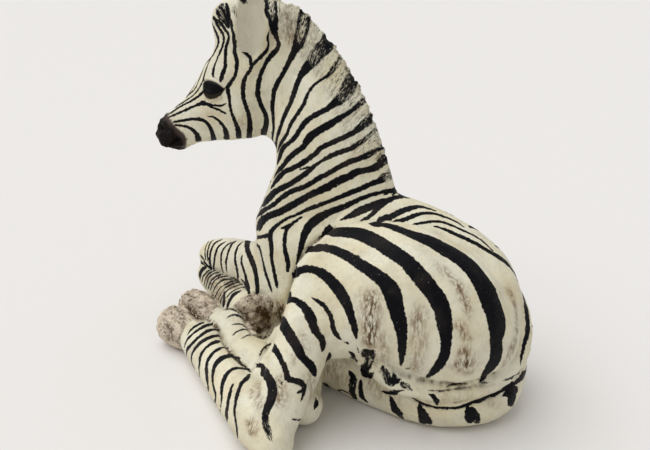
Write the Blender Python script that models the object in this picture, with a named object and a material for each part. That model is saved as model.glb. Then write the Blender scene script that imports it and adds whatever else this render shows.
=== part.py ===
"""Ceramic zebra foal lying down, slip-cast in one piece and painted by hand.

The foal looks towards -X and its left side faces -Y. Its forequarters rest upright on the folded
forelegs, its hindquarters are rolled onto the right hip, and both hind legs reach out to its left
with the hooves forward. It stands on its flat underside at z = 0.

The figure is laid out in parts of its own height. Each limb and mass is a loft of oval sections,
pressed together into one body as clay is, then carved with short strokes.
"""

import math

import bmesh
import bpy
import numpy as np
from mathutils import Vector

HEIGHT = 0.270  # ground to the ear tips
PARTS_HIGH = 104  # the height is laid out as this many parts
PART = HEIGHT / PARTS_HIGH
CLAY_GRAIN = 0.0021  # the finest form that the pressed clay keeps
CLAY_SOFTENING = 7  # passes of smoothing where the masses meet
FACES = 9400  # triangles in the finished solid

HEAD_TURN = math.radians(32)  # to the foal's left
POLL = np.array((-22.0, -8.0, 98.0))
AHEAD = np.array((-math.cos(HEAD_TURN), -math.sin(HEAD_TURN), 0.0))
ASIDE = np.array((math.sin(HEAD_TURN), -math.cos(HEAD_TURN), 0.0))
UP = np.array((0.0, 0.0, 1.0))


def head(ahead, up, aside=0.0):
    """A point of the head, from the poll: ahead along the nose, up, and aside to its left."""
    return POLL + ahead * AHEAD + up * UP + aside * ASIDE


def smooth_through(rows, steps):
    """Rows of numbers along a Catmull-Rom curve through the given rows."""
    rows = np.array(rows, float)
    ends = np.vstack((2 * rows[0] - rows[1], rows, 2 * rows[-1] - rows[-2]))
    found = []
    for i in range(1, len(rows)):
        a, b, c, d = ends[i - 1 : i + 3]
        for t in np.arange(steps) / steps:
            found.append(
                0.5 * (2 * b + (c - a) * t + (2 * a - 5 * b + 4 * c - d) * t**2)
                + 0.5 * (3 * b - a - 3 * c + d) * t**3
            )
    return np.array(found + [rows[-1]])


def unit(vector):
    return vector / max(np.linalg.norm(vector), 1e-9)


def loft(bm, stations, skew=0.0, blunt=1.0, sides=20, steps=6):
    """Adds a closed body of oval sections to bm, in parts.

    A station is (back point, belly point, half width). skew narrows the back of each section
    against its belly, and blunt is how far the rounded ends reach, in half widths.
    """
    rows = smooth_through([(*back, *belly, half) for back, belly, half in stations], steps)
    backs, bellies, halves = rows[:, :3], rows[:, 3:6], rows[:, 6]
    centres = (backs + bellies) / 2
    along = np.gradient(centres, axis=0)
    rings = []
    for i, centre in enumerate(centres):
        deep = (backs[i] - bellies[i]) / 2
        aside = unit(np.cross(along[i], deep)) * halves[i]
        rings.append((centre, deep, aside))
    first, last = rings[0], rings[-1]
    caps = [(t, math.cos(t), math.sin(t)) for t in np.radians((30, 55, 75))]
    for _, scale, reach in caps:
        out = -unit(along[0]) * min(np.linalg.norm(first[1]), np.linalg.norm(first[2]))
        rings.insert(0, (first[0] + out * reach * blunt, first[1] * scale, first[2] * scale))
        out = unit(along[-1]) * min(np.linalg.norm(last[1]), np.linalg.norm(last[2]))
        rings.append((last[0] + out * reach * blunt, last[1] * scale, last[2] * scale))
    loops = []
    for centre, deep, aside in rings:
        loop = []
        for turn in np.arange(sides) * math.tau / sides:
            width = math.sin(turn) * (1 + skew * math.cos(turn))
            loop.append(bm.verts.new((centre + deep * math.cos(turn) + aside * width) * PART))
        loops.append(loop)
    for one, two in zip(loops, loops[1:]):
        for i in range(sides):
            j = (i + 1) % sides
            bm.faces.new((one[i], one[j], two[j], two[i]))
    bm.faces.new(loops[0][::-1])
    bm.faces.new(loops[-1])


def limb(bm, stations, up=UP, **settings):
    """Adds a loft along a limb. A station is (centre, half depth, half width)."""
    centres = np.array([station[0] for station in stations], float)
    along = np.gradient(centres, axis=0)
    made = []
    for (centre, depth, width), way in zip(stations, along):
        way = unit(way)
        deep = unit(np.asarray(up, float) - way * np.dot(up, way)) * depth
        made.append((np.asarray(centre, float) + deep, np.asarray(centre, float) - deep, width))
    loft(bm, made, **settings)


def trunk(bm):
    """Chest to tail head: upright at the shoulder, rolled onto the right hip at the croup."""
    loft(
        bm,
        [
            ((-14, -4, 42), (-17, -6, 16), 7),
            ((-6, -3, 48), (-9, -5, 1), 11),
            ((5, -2, 51), (2, -4, -3), 15),
            ((20, 0.5, 50.5), (17, -5, -3), 17),
            ((35, 5, 48), (32, -8, -2), 18.5),
            ((49, 10, 41.5), (45, -10, -1.5), 19),
            ((57.8, 10.6, 33.4), (52.8, -12, 1), 17.2),
            ((61.5, 8.5, 24.5), (58.5, -8, 3), 11.5),
        ],
        skew=-0.18,
        sides=28,
        blunt=0.6,
    )


def neck(bm):
    """Withers and chest up to the poll, with the stiff mane as its thin crest."""
    loft(
        bm,
        [
            ((24, -1, 36), (-14, -5, 13), 15.5),
            ((25, 1, 48), (-20.4, -4, 24), 14.6),
            ((22.3, 1, 57), (-20.8, -6, 35), 12.8),
            ((18.7, 1.2, 64.5), (-15, -7.5, 45.5), 10.8),
            ((14.2, 2.2, 72), (-10.6, -8, 53.5), 9.2),
            ((6.6, 2.6, 82), (-11.6, -7, 58.4), 8.2),
            ((-2.2, 1.8, 91), (-17.5, -5.5, 60.8), 7),
            ((-9.6, -1, 97.8), (-17, -5.5, 71), 6.8),
            ((-17, -5, 99.4), (-22, -8, 80), 6),
        ],
        skew=-0.32,
        sides=28,
    )


def skull(bm):
    """Poll to muzzle, by the nose line, the jaw line and the half width."""
    profile = [
        ((5, -1), (-14, -20), 6.8),
        ((9.4, -6), (-10.5, -29), 8.2),
        ((10.4, -12.5), (-6, -36), 9.2),
        ((13.5, -16.8), (-1, -38.4), 8.8),
        ((16.7, -22.3), (6, -39.3), 7.4),
        ((20.4, -26.8), (12.5, -40), 6),
        ((24.5, -30.6), (17.5, -41), 5.6),
        ((28.4, -33.6), (21.5, -43), 5.8),
        ((30, -36.5), (25, -42.8), 5.2),
    ]
    loft(
        bm,
        [(head(*nose), head(*jaw), half) for nose, jaw, half in profile],
        skew=-0.05,
        blunt=0.5,
    )
    for side in (-1, 1):
        cheek = [
            (head(0.5, -27, side * 4), 5.4, 6.4),
            (head(3.5, -31, side * 3.6), 5.2, 6),
        ]
        limb(bm, cheek, up=ASIDE, sides=14)


def forelock(bm):
    loft(
        bm,
        [
            (head(6.5, 1.6), head(-2, -8), 4),
            (head(10.6, -2), head(3, -9), 3.4),
            (head(10.6, -7), head(5, -10), 2.6),
        ],
    )


def ears(bm):
    """Broad and round-tipped, their hollows turned outwards."""
    for side in (-1, 1):
        stations = [
            (head(0.6, -16, side * 6.4), head(-5.2, -15.6, side * 6.4), 3.2),
            (head(2.6, -10, side * 8.0), head(-7.4, -9.4, side * 8.0), 3.1),
            (head(2.9, -3.4, side * 9.0), head(-8.4, -3.0, side * 9.0), 2.8),
            (head(1.0, 2.2, side * 9.4), head(-7.4, 2.5, side * 9.4), 2.3),
            (head(-1.2, 5.0, side * 9.4), head(-5.4, 5.1, side * 9.4), 1.7),
        ]
        loft(bm, stations, blunt=0.7)


def haunch(bm):
    """Left hip and thigh, the top one of the two, down to the stifle."""
    loft(
        bm,
        [
            ((60, 0, 31), (63, -11, 14.5), 8.5),
            ((54, -4, 41.5), (57, -19, 14), 12.5),
            ((43, -7, 46.5), (46, -25, 16), 15.5),
            ((33, -11, 48), (37, -30, 17.5), 14.5),
            ((25, -18, 46.5), (31.5, -34, 17), 11.5),
            ((20.5, -25, 41.5), (29, -38, 16.5), 8.5),
        ],
        sides=24,
        blunt=0.6,
    )


def near_hind_leg(bm):
    """Left gaskin down to the hock, then cannon and hoof forward along the ground."""
    limb(
        bm,
        [
            ((25.5, -30, 31), 7.6, 8),
            ((28, -39, 22.5), 7.0, 7.0),
            ((29.5, -47, 13.5), 6.4, 6.4),
            ((30.5, -53, 7.5), 6.0, 6.0),
        ],
        up=(1, 0, 0),
    )
    limb(
        bm,
        [
            ((33.5, -55.5, 5.5), 5.4, 5.2),
            ((26, -52.8, 6.2), 6.4, 6.6),
            ((13, -48.3, 5.4), 6, 6.2),
            ((-3, -42.4, 5.2), 5.6, 6),
            ((-12.5, -39, 5.4), 5.6, 5.9),
            ((-19, -37, 5.6), 5.0, 5.2),
        ],
    )
    hoof(bm, (-18.5, -37, 5.4), (-29.5, -38, 5.8), spread=1.08)


def far_hind_leg(bm):
    """Right thigh, flat on the ground, its leg behind the left one, and the clay they lie in."""
    limb(
        bm,
        [
            ((36, 13, 12), 11, 7.5),
            ((47, 12, 15), 13, 9),
            ((56, 5.5, 13), 11.5, 8.6),
            ((60.2, -4.5, 8.5), 10, 8.8),
            ((51.5, -13, 7), 9, 11),
            ((38, -16.5, 7), 10, 10),
            ((22, -19, 7.5), 10, 9),
            ((10, -23, 7), 8.5, 8.5),
        ],
    )
    bed = [((8, -22, 2), 6, 8), ((-8, -19, 1), 5, 8), ((-22, -16, 1), 5, 7), ((-38, -11, 3), 4, 4)]
    limb(bm, bed)
    limb(
        bm,
        [
            ((10, -23, 8), 8.5, 8),
            ((19, -32, 7.5), 8, 7),
            ((26.5, -39.5, 6.5), 6.5, 5.6),
        ],
    )
    limb(
        bm,
        [
            ((29.5, -40.5, 6), 5.6, 4.8),
            ((22, -40, 6.4), 6, 5.6),
            ((8, -36.5, 6.2), 5.6, 5.6),
            ((-8, -30.5, 6), 5.3, 5.3),
            ((-18, -28, 6.2), 5.4, 5.2),
            ((-24, -27.5, 6.2), 5.0, 5.0),
        ],
    )
    hoof(bm, (-24, -27.5, 6.2), (-33.5, -27, 6.4))


def hoof(bm, coronet, toe, spread=1.0):
    coronet, toe = np.array(coronet, float), np.array(toe, float)
    middle = coronet * 0.45 + toe * 0.55
    limb(
        bm,
        [
            (coronet, 4.9 * spread, 4.8 * spread),
            (middle, 5.9 * spread, 5.6 * spread),
            (toe, 5.4 * spread, 5.2 * spread),
        ],
        blunt=0.45,
    )


def near_foreleg(bm):
    """Left foreleg: shoulder, forearm reaching ahead, cannon folded back under it."""
    limb(
        bm,
        [
            ((11, -6, 41), 7, 5),
            ((5, -9, 37), 11, 7.5),
            ((-3, -11, 31), 13, 8.5),
            ((-2.5, -13, 21), 11.5, 7.6),
            ((-1, -15, 12), 9, 6.5),
        ],
        up=(1, 0, 0),
        blunt=0.3,
    )
    limb(
        bm,
        [
            ((-2, -15, 15), 11, 6.5),
            ((-13, -13.5, 17.5), 10.5, 6.2),
            ((-24.5, -12.5, 18), 8.8, 5.6),
            ((-33.5, -11.8, 17.4), 7, 5.2),
            ((-40, -11.2, 15.5), 6.2, 5.4),
        ],
    )
    folded_cannon(bm, (-41.8, -11.3, 9), (-36, -14, 8), (-20.5, -19.6, 9.4), (-7.5, -23.6, 10.4))


def far_foreleg(bm):
    """Right foreleg, folded further under the chest."""
    limb(
        bm,
        [
            ((13, 2, 41), 7, 5),
            ((6, 3, 36), 11, 7.5),
            ((-2, 2, 30), 13, 8.5),
            ((0, 5, 20), 11, 8),
            ((3, 7, 12), 8, 7),
        ],
        up=(1, 0, 0),
        blunt=0.3,
    )
    limb(
        bm,
        [
            ((2, 7, 12), 8.5, 7.5),
            ((-10, 7, 14), 8, 6.4),
            ((-22, 6.5, 14), 6.2, 5.4),
            ((-30, 6, 12), 5.6, 5.2),
        ],
    )
    folded_cannon(bm, (-31, 6, 8.5), (-26, 8, 6), (-8, 13, 5.8), (4, 16, 7))


def folded_cannon(bm, knee, below, fetlock, toe):
    limb(
        bm,
        [
            (knee, 5.6, 5.2),
            (below, 4.6, 4.4),
            ((np.array(below) + fetlock) / 2, 4.2, 4.2),
            (fetlock, 4.8, 4.8),
        ],
    )
    hoof(bm, fetlock, toe, spread=1.1)


def tail(bm):
    """From the croup round the rump, then forward in the crease above the lower thigh."""
    limb(
        bm,
        [
            ((50, 9, 32), 3, 4.5),
            ((59.8, 7, 26), 3, 4.2),
            ((66, -0.5, 18.6), 2.8, 3.2),
            ((65.8, -10, 14.4), 2.5, 2.6),
            ((60, -18.5, 13.2), 2.3, 2.4),
            ((52.5, -24, 13), 2.6, 2.6),
            ((46, -26.5, 14.5), 3.2, 3),
            ((40, -28.5, 18), 2.6, 2.6),
        ],
        sides=12,
    )


def nearness(points, path, width):
    """How near each point is to a path, both in parts: 1 on it, fading out over the width."""
    path = smooth_through(path, 6) if len(path) > 1 else np.array([path[0], path[0]], float)
    best = np.full(len(points), np.inf)
    for start, end in zip(path, path[1:]):
        way = end - start
        share = (points - start) @ way / max(way @ way, 1e-9)
        nearest = start + np.clip(share, 0, 1)[:, None] * way
        best = np.minimum(best, ((points - nearest) ** 2).sum(axis=1))
    return np.exp(-best / width**2)


def carve(mesh):
    """Tool strokes on the leather-hard clay: a path, its width, its height and the side it faces."""
    strokes = []
    for side in (-1, 1):
        out = side * ASIDE
        eye = [head(8.8, -22.6, side * 7.6)]
        lid = [head(12.6, -21, side * 6), head(9.5, -19.4, side * 7.6), head(6, -20.8, side * 8.4)]
        nostril = [head(28.4, -35.6, side * 4.2), head(26.4, -36.4, side * 5)]
        lips = [head(29.5, -40.2, side * 2), head(25, -40, side * 4.8), head(20, -38.8, side * 5)]
        hollow = [head(-2, -11.5, side * 9.4), head(-3, -5, side * 11), head(-3.2, 2, side * 11)]
        strokes += [
            (eye, 3.4, -1.3, out),
            (eye, 1.9, 2.0, out),
            (lid, 1.2, 0.9, out),
            (nostril, 1.2, -1.4, out),
            (lips, 0.8, -0.8, out),
            (hollow, 3, -2.4, out),
        ]
    above_tail = [(67.5, -1, 22.5), (68, -9, 18.5), (61, -19, 16), (53, -25, 16)]
    below_tail = [(68, 1, 15.5), (67, -10, 11.8), (59, -19, 10.4), (51, -25, 10)]
    under_forearm = [(-43, -16, 14.5), (-35, -18, 13.5), (-23, -20, 14), (-14, -21, 15)]
    strokes += [
        (above_tail, 0.9, -1.0, None),
        (below_tail, 0.9, -1.0, None),
        (under_forearm, 1, -1.2, None),
    ]
    count = len(mesh.vertices)
    points, normals = np.empty(count * 3, np.float32), np.empty(count * 3, np.float32)
    mesh.vertices.foreach_get("co", points)
    mesh.vertices.foreach_get("normal", normals)
    points, normals = points.reshape(-1, 3) / PART, normals.reshape(-1, 3)
    for path, width, height, facing in strokes:
        reach = nearness(points, path, width) * height
        if facing is not None:
            reach = reach * np.clip(normals @ facing * 2, 0, 1)
        points = points + normals * reach[:, None]
    mesh.vertices.foreach_set("co", (points * PART).ravel())
    mesh.update()


def modified(mesh, *modifiers):
    """A new mesh, as the modifiers leave this one. Each is its type and its settings."""
    clay = bpy.data.objects.new("clay", mesh)
    bpy.context.collection.objects.link(clay)
    for kind, settings in modifiers:
        modifier = clay.modifiers.new(kind, kind)
        for name, value in settings.items():
            setattr(modifier, name, value)
    graph = bpy.context.evaluated_depsgraph_get()
    made = bpy.data.meshes.new_from_object(clay.evaluated_get(graph))
    bpy.data.objects.remove(clay)
    return made


def pressed_together(masses):
    """One mesh from all the masses, softened where they meet."""
    bm = bmesh.new()
    for mass in masses:
        mass(bm)
    bm.normal_update()
    mesh = bpy.data.meshes.new("clay")
    bm.to_mesh(mesh)
    bm.free()
    press = ("REMESH", {"mode": "VOXEL", "voxel_size": CLAY_GRAIN})
    soften = ("SMOOTH", {"factor": 0.5, "iterations": CLAY_SOFTENING})
    return modified(mesh, press, soften)


def thinned(mesh):
    """The same shape in about as many triangles as FACES says."""
    ratio = FACES / (2 * len(mesh.polygons))
    return modified(mesh, ("DECIMATE", {"ratio": ratio, "use_collapse_triangulate": True}))


def cut_flat(mesh):
    """Cuts off all that is below the ground and closes the cut with flat faces."""
    bm = bmesh.new()
    bm.from_mesh(mesh)
    cut = bmesh.ops.bisect_plane(
        bm,
        geom=bm.verts[:] + bm.edges[:] + bm.faces[:],
        plane_co=(0, 0, 0),
        plane_no=(0, 0, -1),
        clear_outer=True,
    )
    rim = [e for e in cut["geom_cut"] if isinstance(e, bmesh.types.BMEdge)]
    bmesh.ops.triangle_fill(bm, edges=rim, use_beauty=True, normal=Vector((0, 0, -1)))
    bmesh.ops.triangulate(bm, faces=bm.faces)
    bmesh.ops.recalc_face_normals(bm, faces=bm.faces)
    bm.to_mesh(mesh)
    bm.free()


def painted_ceramic():
    material = bpy.data.materials.new("painted ceramic")
    material.use_nodes = True
    shader = material.node_tree.nodes["Principled BSDF"]
    shader.inputs["Base Color"].default_value = (0.74, 0.69, 0.56, 1)
    shader.inputs["Roughness"].default_value = 0.5
    shader.inputs["Metallic"].default_value = 0.0
    return material


def zebra_foal():
    masses = (
        trunk,
        neck,
        skull,
        forelock,
        ears,
        haunch,
        near_hind_leg,
        far_hind_leg,
        near_foreleg,
        far_foreleg,
        tail,
    )
    clay = pressed_together(masses)
    carve(clay)
    mesh = thinned(clay)
    cut_flat(mesh)
    mesh.materials.clear()
    mesh.materials.append(painted_ceramic())
    mesh.shade_smooth()
    foal = bpy.data.objects.new("zebra_foal", mesh)
    bpy.context.collection.objects.link(foal)


for old in list(bpy.data.objects):
    bpy.data.objects.remove(old)
zebra_foal()
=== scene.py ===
"""Painted ceramic zebra foal lying down: the slip casting, its tooling and its brushwork."""

import math

import bmesh
import bpy
import numpy as np
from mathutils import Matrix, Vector, noise
from mathutils.bvhtree import BVHTree


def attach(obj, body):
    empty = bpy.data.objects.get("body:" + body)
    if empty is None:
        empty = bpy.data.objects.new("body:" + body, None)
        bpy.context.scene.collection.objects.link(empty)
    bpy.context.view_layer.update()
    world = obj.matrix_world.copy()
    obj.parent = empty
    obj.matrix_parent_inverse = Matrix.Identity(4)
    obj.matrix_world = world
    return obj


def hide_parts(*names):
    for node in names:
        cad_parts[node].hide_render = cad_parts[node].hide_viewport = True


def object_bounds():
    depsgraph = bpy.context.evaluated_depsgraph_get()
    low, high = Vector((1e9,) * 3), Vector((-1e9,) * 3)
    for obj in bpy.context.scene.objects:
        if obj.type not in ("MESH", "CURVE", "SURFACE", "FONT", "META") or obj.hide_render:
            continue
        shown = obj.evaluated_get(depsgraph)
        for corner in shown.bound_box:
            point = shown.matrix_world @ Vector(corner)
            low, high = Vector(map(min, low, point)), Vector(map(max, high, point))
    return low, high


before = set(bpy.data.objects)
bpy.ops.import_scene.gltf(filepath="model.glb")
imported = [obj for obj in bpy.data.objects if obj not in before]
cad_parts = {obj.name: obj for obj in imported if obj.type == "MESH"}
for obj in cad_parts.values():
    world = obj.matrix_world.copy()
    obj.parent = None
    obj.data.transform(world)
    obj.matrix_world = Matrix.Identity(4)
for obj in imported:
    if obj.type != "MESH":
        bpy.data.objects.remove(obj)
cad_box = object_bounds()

# The view. The foal is seen from its left, a little from behind and above, with its head in
# profile. Places in the picture are pixels of a frame 650 wide and 450 high.
PICTURE = np.array((650.0, 450.0))
FOCAL_PIXELS = 700.0
VIEW_ROUND = math.radians(42)
VIEW_DOWN = math.radians(22)
VIEW_DISTANCE = 0.55
VIEW_TARGET = np.array((0.0, 0.0, 0.09))
SENSOR = 36.0


def stand(turn, down):
    """The eye of someone who walks round the foal and looks down on it, and the eye's axes."""
    right = np.array((math.cos(turn), math.sin(turn), 0.0))
    back = np.array((0.0, 0.0, math.sin(down)))
    back += np.cross(right, (0, 0, 1)) * math.cos(down)
    return VIEW_TARGET + back * VIEW_DISTANCE, right, np.cross(back, right), back


camera_stand = stand(VIEW_ROUND, VIEW_DOWN)
eye_point, view_right, view_up, to_camera = camera_stand

camera = bpy.data.objects.new("camera", bpy.data.cameras.new("camera"))
camera.data.sensor_width = SENSOR
camera.data.lens = SENSOR * FOCAL_PIXELS / PICTURE[0]
camera.location = eye_point
camera.rotation_mode = "QUATERNION"
camera.rotation_quaternion = Vector(to_camera).to_track_quat("Z", "Y")
bpy.context.collection.objects.link(camera)
bpy.context.scene.camera = camera

# The casting. One hollow piece of white clay, slip-cast and fired, its underside cut flat. The
# mould leaves soft forms with no hard edge, and the hand leaves them slightly uneven.
HEIGHT = 0.270  # from the ground to the ear tips
PART = HEIGHT / 104
CLAY_SPACING = 2.4e-3
EVENING_PASSES = 14
DRAW_IN, LET_OUT = 0.5, -0.52
GROUNDED = 0.4e-3
HEAD_TURN = math.radians(32)
POLL = np.array((-22.0, -8.0, 98.0))
AHEAD = np.array((-math.cos(HEAD_TURN), -math.sin(HEAD_TURN), 0.0))
ASIDE = np.array((math.sin(HEAD_TURN), -math.cos(HEAD_TURN), 0.0))
UP = np.array((0.0, 0.0, 1.0))


def head(ahead, up, aside=0.0):
    """A point of the head in metres, from the poll: along the nose, up, and to its left."""
    return (POLL + ahead * AHEAD + up * UP + aside * ASIDE) * PART


def body(x, y, z):
    """A point of the body in metres, from the origin, in parts of the height."""
    return np.array((x, y, z), float) * PART


def modified(mesh, kind, **settings):
    """A new mesh, as one modifier leaves this one."""
    clay = bpy.data.objects.new("clay", mesh)
    bpy.context.collection.objects.link(clay)
    modifier = clay.modifiers.new(kind, kind)
    for name, value in settings.items():
        setattr(modifier, name, value)
    graph = bpy.context.evaluated_depsgraph_get()
    made = bpy.data.meshes.new_from_object(clay.evaluated_get(graph))
    bpy.data.objects.remove(clay)
    return made


def read(what, name="co", size=3):
    """What a mesh holds for its points or edges, one row for each."""
    kind = np.int32 if name == "vertices" else np.float32
    values = np.empty(len(what) * size, kind)
    what.foreach_get(name, values)
    return values.reshape(-1, size)


def write(mesh, points):
    mesh.vertices.foreach_set("co", points.astype(np.float32).ravel())
    mesh.update()


def drift(points, edges, meets):
    """From each point to the middle of its neighbours."""
    total = np.zeros_like(points)
    for axis in range(points.shape[1]):
        for a, b in ((0, 1), (1, 0)):
            other = points[edges[:, b], axis]
            total[:, axis] += np.bincount(edges[:, a], other, len(points))
    return total / meets[:, None] - points


def evened(mesh, passes):
    """Takes out the facets and keeps the volume: each pass draws in and then lets out."""
    points = read(mesh.vertices).astype(float)
    edges = read(mesh.edges, "vertices", 2)
    meets = np.bincount(edges.ravel(), minlength=len(points)).astype(float)
    grounded = points[:, 2] < GROUNDED
    for _ in range(passes):
        for share in (DRAW_IN, LET_OUT):
            points += drift(points, edges, meets) * share
            points[grounded, 2] = 0
    points[:, 2] = np.maximum(points[:, 2], 0)
    write(mesh, points)


def refined(mesh, chosen):
    """Halves the spacing of the points where all ends of an edge are chosen."""
    bm = bmesh.new()
    bm.from_mesh(mesh)
    bm.verts.ensure_lookup_table()
    edges = [e for e in bm.edges if chosen[e.verts[0].index] and chosen[e.verts[1].index]]
    bmesh.ops.subdivide_edges(bm, edges=edges, cuts=1, use_grid_fill=True)
    bm.to_mesh(mesh)
    bm.free()
    mesh.update()


def within(points, *balls):
    """Which points lie in any of these balls, each a centre and a radius in parts."""
    found = np.zeros(len(points), bool)
    for centre, radius in balls:
        found |= ((points - centre) ** 2).sum(axis=1) < (radius * PART) ** 2
    return found


casting = modified(
    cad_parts["zebra_foal"].data, "REMESH", mode="VOXEL", voxel_size=CLAY_SPACING
)
evened(casting, EVENING_PASSES)

# Where the clay is worked finer, all round or only where the picture shows it.
FACES_AWAY = -0.05
for all_round, shown, passes in (
    (
        ((head(6, -19), 16), (head(15, -31), 13), (head(25, -38), 9), (head(-2, -3, 8), 10),
         (head(-2, -3, -8), 10)),
        ((body(-40, -11, 13), 8), (body(-14, -21, 10), 9), (body(-24, -38, 6), 9),
         (body(-29, -27, 6), 8), (body(-4, -33, 8), 10), (body(8, -40, 8), 10),
         (body(0, 0, 84), 20), (body(10, -4, 66), 20), (body(60, -20, 11), 12),
         (body(15, -13, 42), 5), (body(9, -16, 35), 6), (body(4, -19, 24), 7), (body(46, -28, 17), 8)),
        3,
    ),
    (
        ((head(9, -22.5, -8), 4), (head(25, -38, -5), 4)),
        ((head(10, -24, 8), 7), (head(24, -38, 5), 7), (body(-14, -21, 8), 5), (body(-32, -33, 6), 8)),
        2,
    ),
):
    points = read(casting.vertices)
    seen = read(casting.vertices, "normal") @ to_camera > FACES_AWAY
    chosen = within(points, *all_round) | within(points, *shown) & seen
    refined(casting, chosen & (points[:, 2] > 0))
    evened(casting, passes)

# The tooling. Creases, hooves, eyes, lips and hair, pressed and scratched into the soft clay
# with a wooden tool. The paths are places in the picture, carried onto the surface.
DAB = 0.7e-3  # from one touch of the tool or brush to the next
surface_points = read(casting.vertices).astype(float)
surface_faces = [tuple(f.vertices) for f in casting.polygons]
surface = BVHTree.FromPolygons([Vector(p) for p in surface_points], surface_faces)
normals = read(casting.vertices, "normal").astype(float)
count = len(surface_points)


def seen_at(x, y, place=camera_stand):
    """The point on the surface that the picture from a stand shows at this pixel, or None."""
    eye, right, up, back = place
    ray = right * (x - PICTURE[0] / 2) - up * (y - PICTURE[1] / 2) - back * FOCAL_PIXELS
    hit = surface.ray_cast(Vector(eye), Vector(ray).normalized())
    return None if hit[0] is None else np.array(hit[0])


def seen_near(x, y, toward, place=camera_stand):
    """The same, pulled inward toward another pixel where the outline is just missed."""
    for share in np.linspace(0, 0.9, 10):
        found = seen_at(x + (toward[0] - x) * share, y + (toward[1] - y) * share, place)
        if found is not None:
            return found
    return None


def smooth_through(rows, steps):
    """Rows of numbers along a Catmull-Rom curve through the given rows."""
    rows = np.array(rows, float)
    ends = np.vstack((2 * rows[0] - rows[1], rows, 2 * rows[-1] - rows[-2]))
    found = []
    for i in range(1, len(rows)):
        a, b, c, d = ends[i - 1 : i + 3]
        for t in np.arange(steps) / steps:
            found.append(
                0.5 * (2 * b + (c - a) * t + (2 * a - 5 * b + 4 * c - d) * t**2)
                + 0.5 * (3 * b - a - 3 * c + d) * t**3
            )
    return np.array(found + [rows[-1]])


def unit(rows):
    """Each row as a direction of length one."""
    return rows / np.maximum(np.linalg.norm(rows, axis=-1, keepdims=True), 1e-9)


def on_surface(point):
    """The nearest place on the surface, and which way it faces."""
    place, normal, _, _ = surface.find_nearest(Vector(point))
    return np.array(place), np.array(normal)


def evenly(path, *rows):
    """The path and what goes with it, set at even steps of a dab."""
    steps = np.linalg.norm(np.diff(path, axis=0), axis=1)
    far = np.concatenate(((0,), np.cumsum(steps)))
    at = np.linspace(0, far[-1], max(int(far[-1] / DAB), 4))
    even = np.stack([np.interp(at, far, path[:, i]) for i in range(3)], axis=1)
    return at, even, [np.interp(at, far, row) for row in rows]


def seen_path(places):
    """The surface under picture places (x, y), as a path of even steps."""
    fine = smooth_through(places, 5)
    found = [seen_near(x, y, fine[len(fine) // 2]) for x, y in fine]
    return evenly(np.array([place for place in found if place is not None]))


def nearest_on(path, reach):
    """The points of the surface within reach of a path: which, how far, and at which step."""
    low, high = path.min(axis=0) - reach, path.max(axis=0) + reach
    near = np.nonzero(((surface_points > low) & (surface_points < high)).all(axis=1))[0]
    best, index = np.full(len(near), np.inf), np.zeros(len(near), int)
    for k, place in enumerate(path):
        away = ((surface_points[near] - place) ** 2).sum(axis=1)
        closer = away < best
        best[closer], index[closer] = away[closer], k
    kept = best < reach**2
    return near[kept], np.sqrt(best[kept]), index[kept]


PRESS_REACH = 3e-3  # how far a press is felt, for each millimetre of the tool's width
END_FADE, END_PRESS = 5, 0.15


def pressed(places, width, both_sides=False):
    """How strongly each point feels a tool drawn along picture places, from 0 to 1.

    Its width is in millimetres. The press fades out toward both ends of the path.
    """
    at, path, _ = seen_path(places)
    felt = np.zeros(count)
    for one in (path, np.array([across(p) for p in path])) if both_sides else (path,):
        faces = np.array([on_surface(p)[1] for p in one])
        near, far, index = nearest_on(one, width * PRESS_REACH)
        share = at[index] / at[-1]
        fade = np.clip(np.minimum(share, 1 - share) * END_FADE + END_PRESS, 0, 1)
        alike = np.clip((normals[near] * faces[index]).sum(axis=1) * 3, 0, 1)
        felt[near] = np.maximum(felt[near], np.exp(-((far * 1000 / width) ** 2)) * fade * alike)
    return felt


def in_picture(points):
    """The pixels at which the picture shows these points."""
    from_eye = points - eye_point
    scale = FOCAL_PIXELS / -(from_eye @ to_camera)
    x = PICTURE[0] / 2 + from_eye @ view_right * scale
    y = PICTURE[1] / 2 - from_eye @ view_up * scale
    return np.stack((x, y), axis=1)


def depth_inside(places, outline):
    """How far inside an outline each place is, in pixels. It is below 0 outside."""
    ring = smooth_through((*outline, outline[0]), 4)
    far, inside = np.full(len(places), np.inf), np.zeros(len(places), bool)
    for one, two in zip(ring, ring[1:]):
        way = two - one
        share = np.clip((places - one) @ way / max(way @ way, 1e-9), 0, 1)
        far = np.minimum(far, np.linalg.norm(places - one - share[:, None] * way, axis=1))
        between = (one[1] > places[:, 1]) != (two[1] > places[:, 1])
        crossing = one[0] + (places[:, 1] - one[1]) * way[0] / (way[1] or 1e-9)
        inside ^= between & (places[:, 0] < crossing)
    return np.where(inside, far, -far)


BEYOND = 8.0  # how far outside an outline still counts, in pixels and millimetres
TURNED_AWAY = -0.35
HIDDEN_BY = 3e-3


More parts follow.
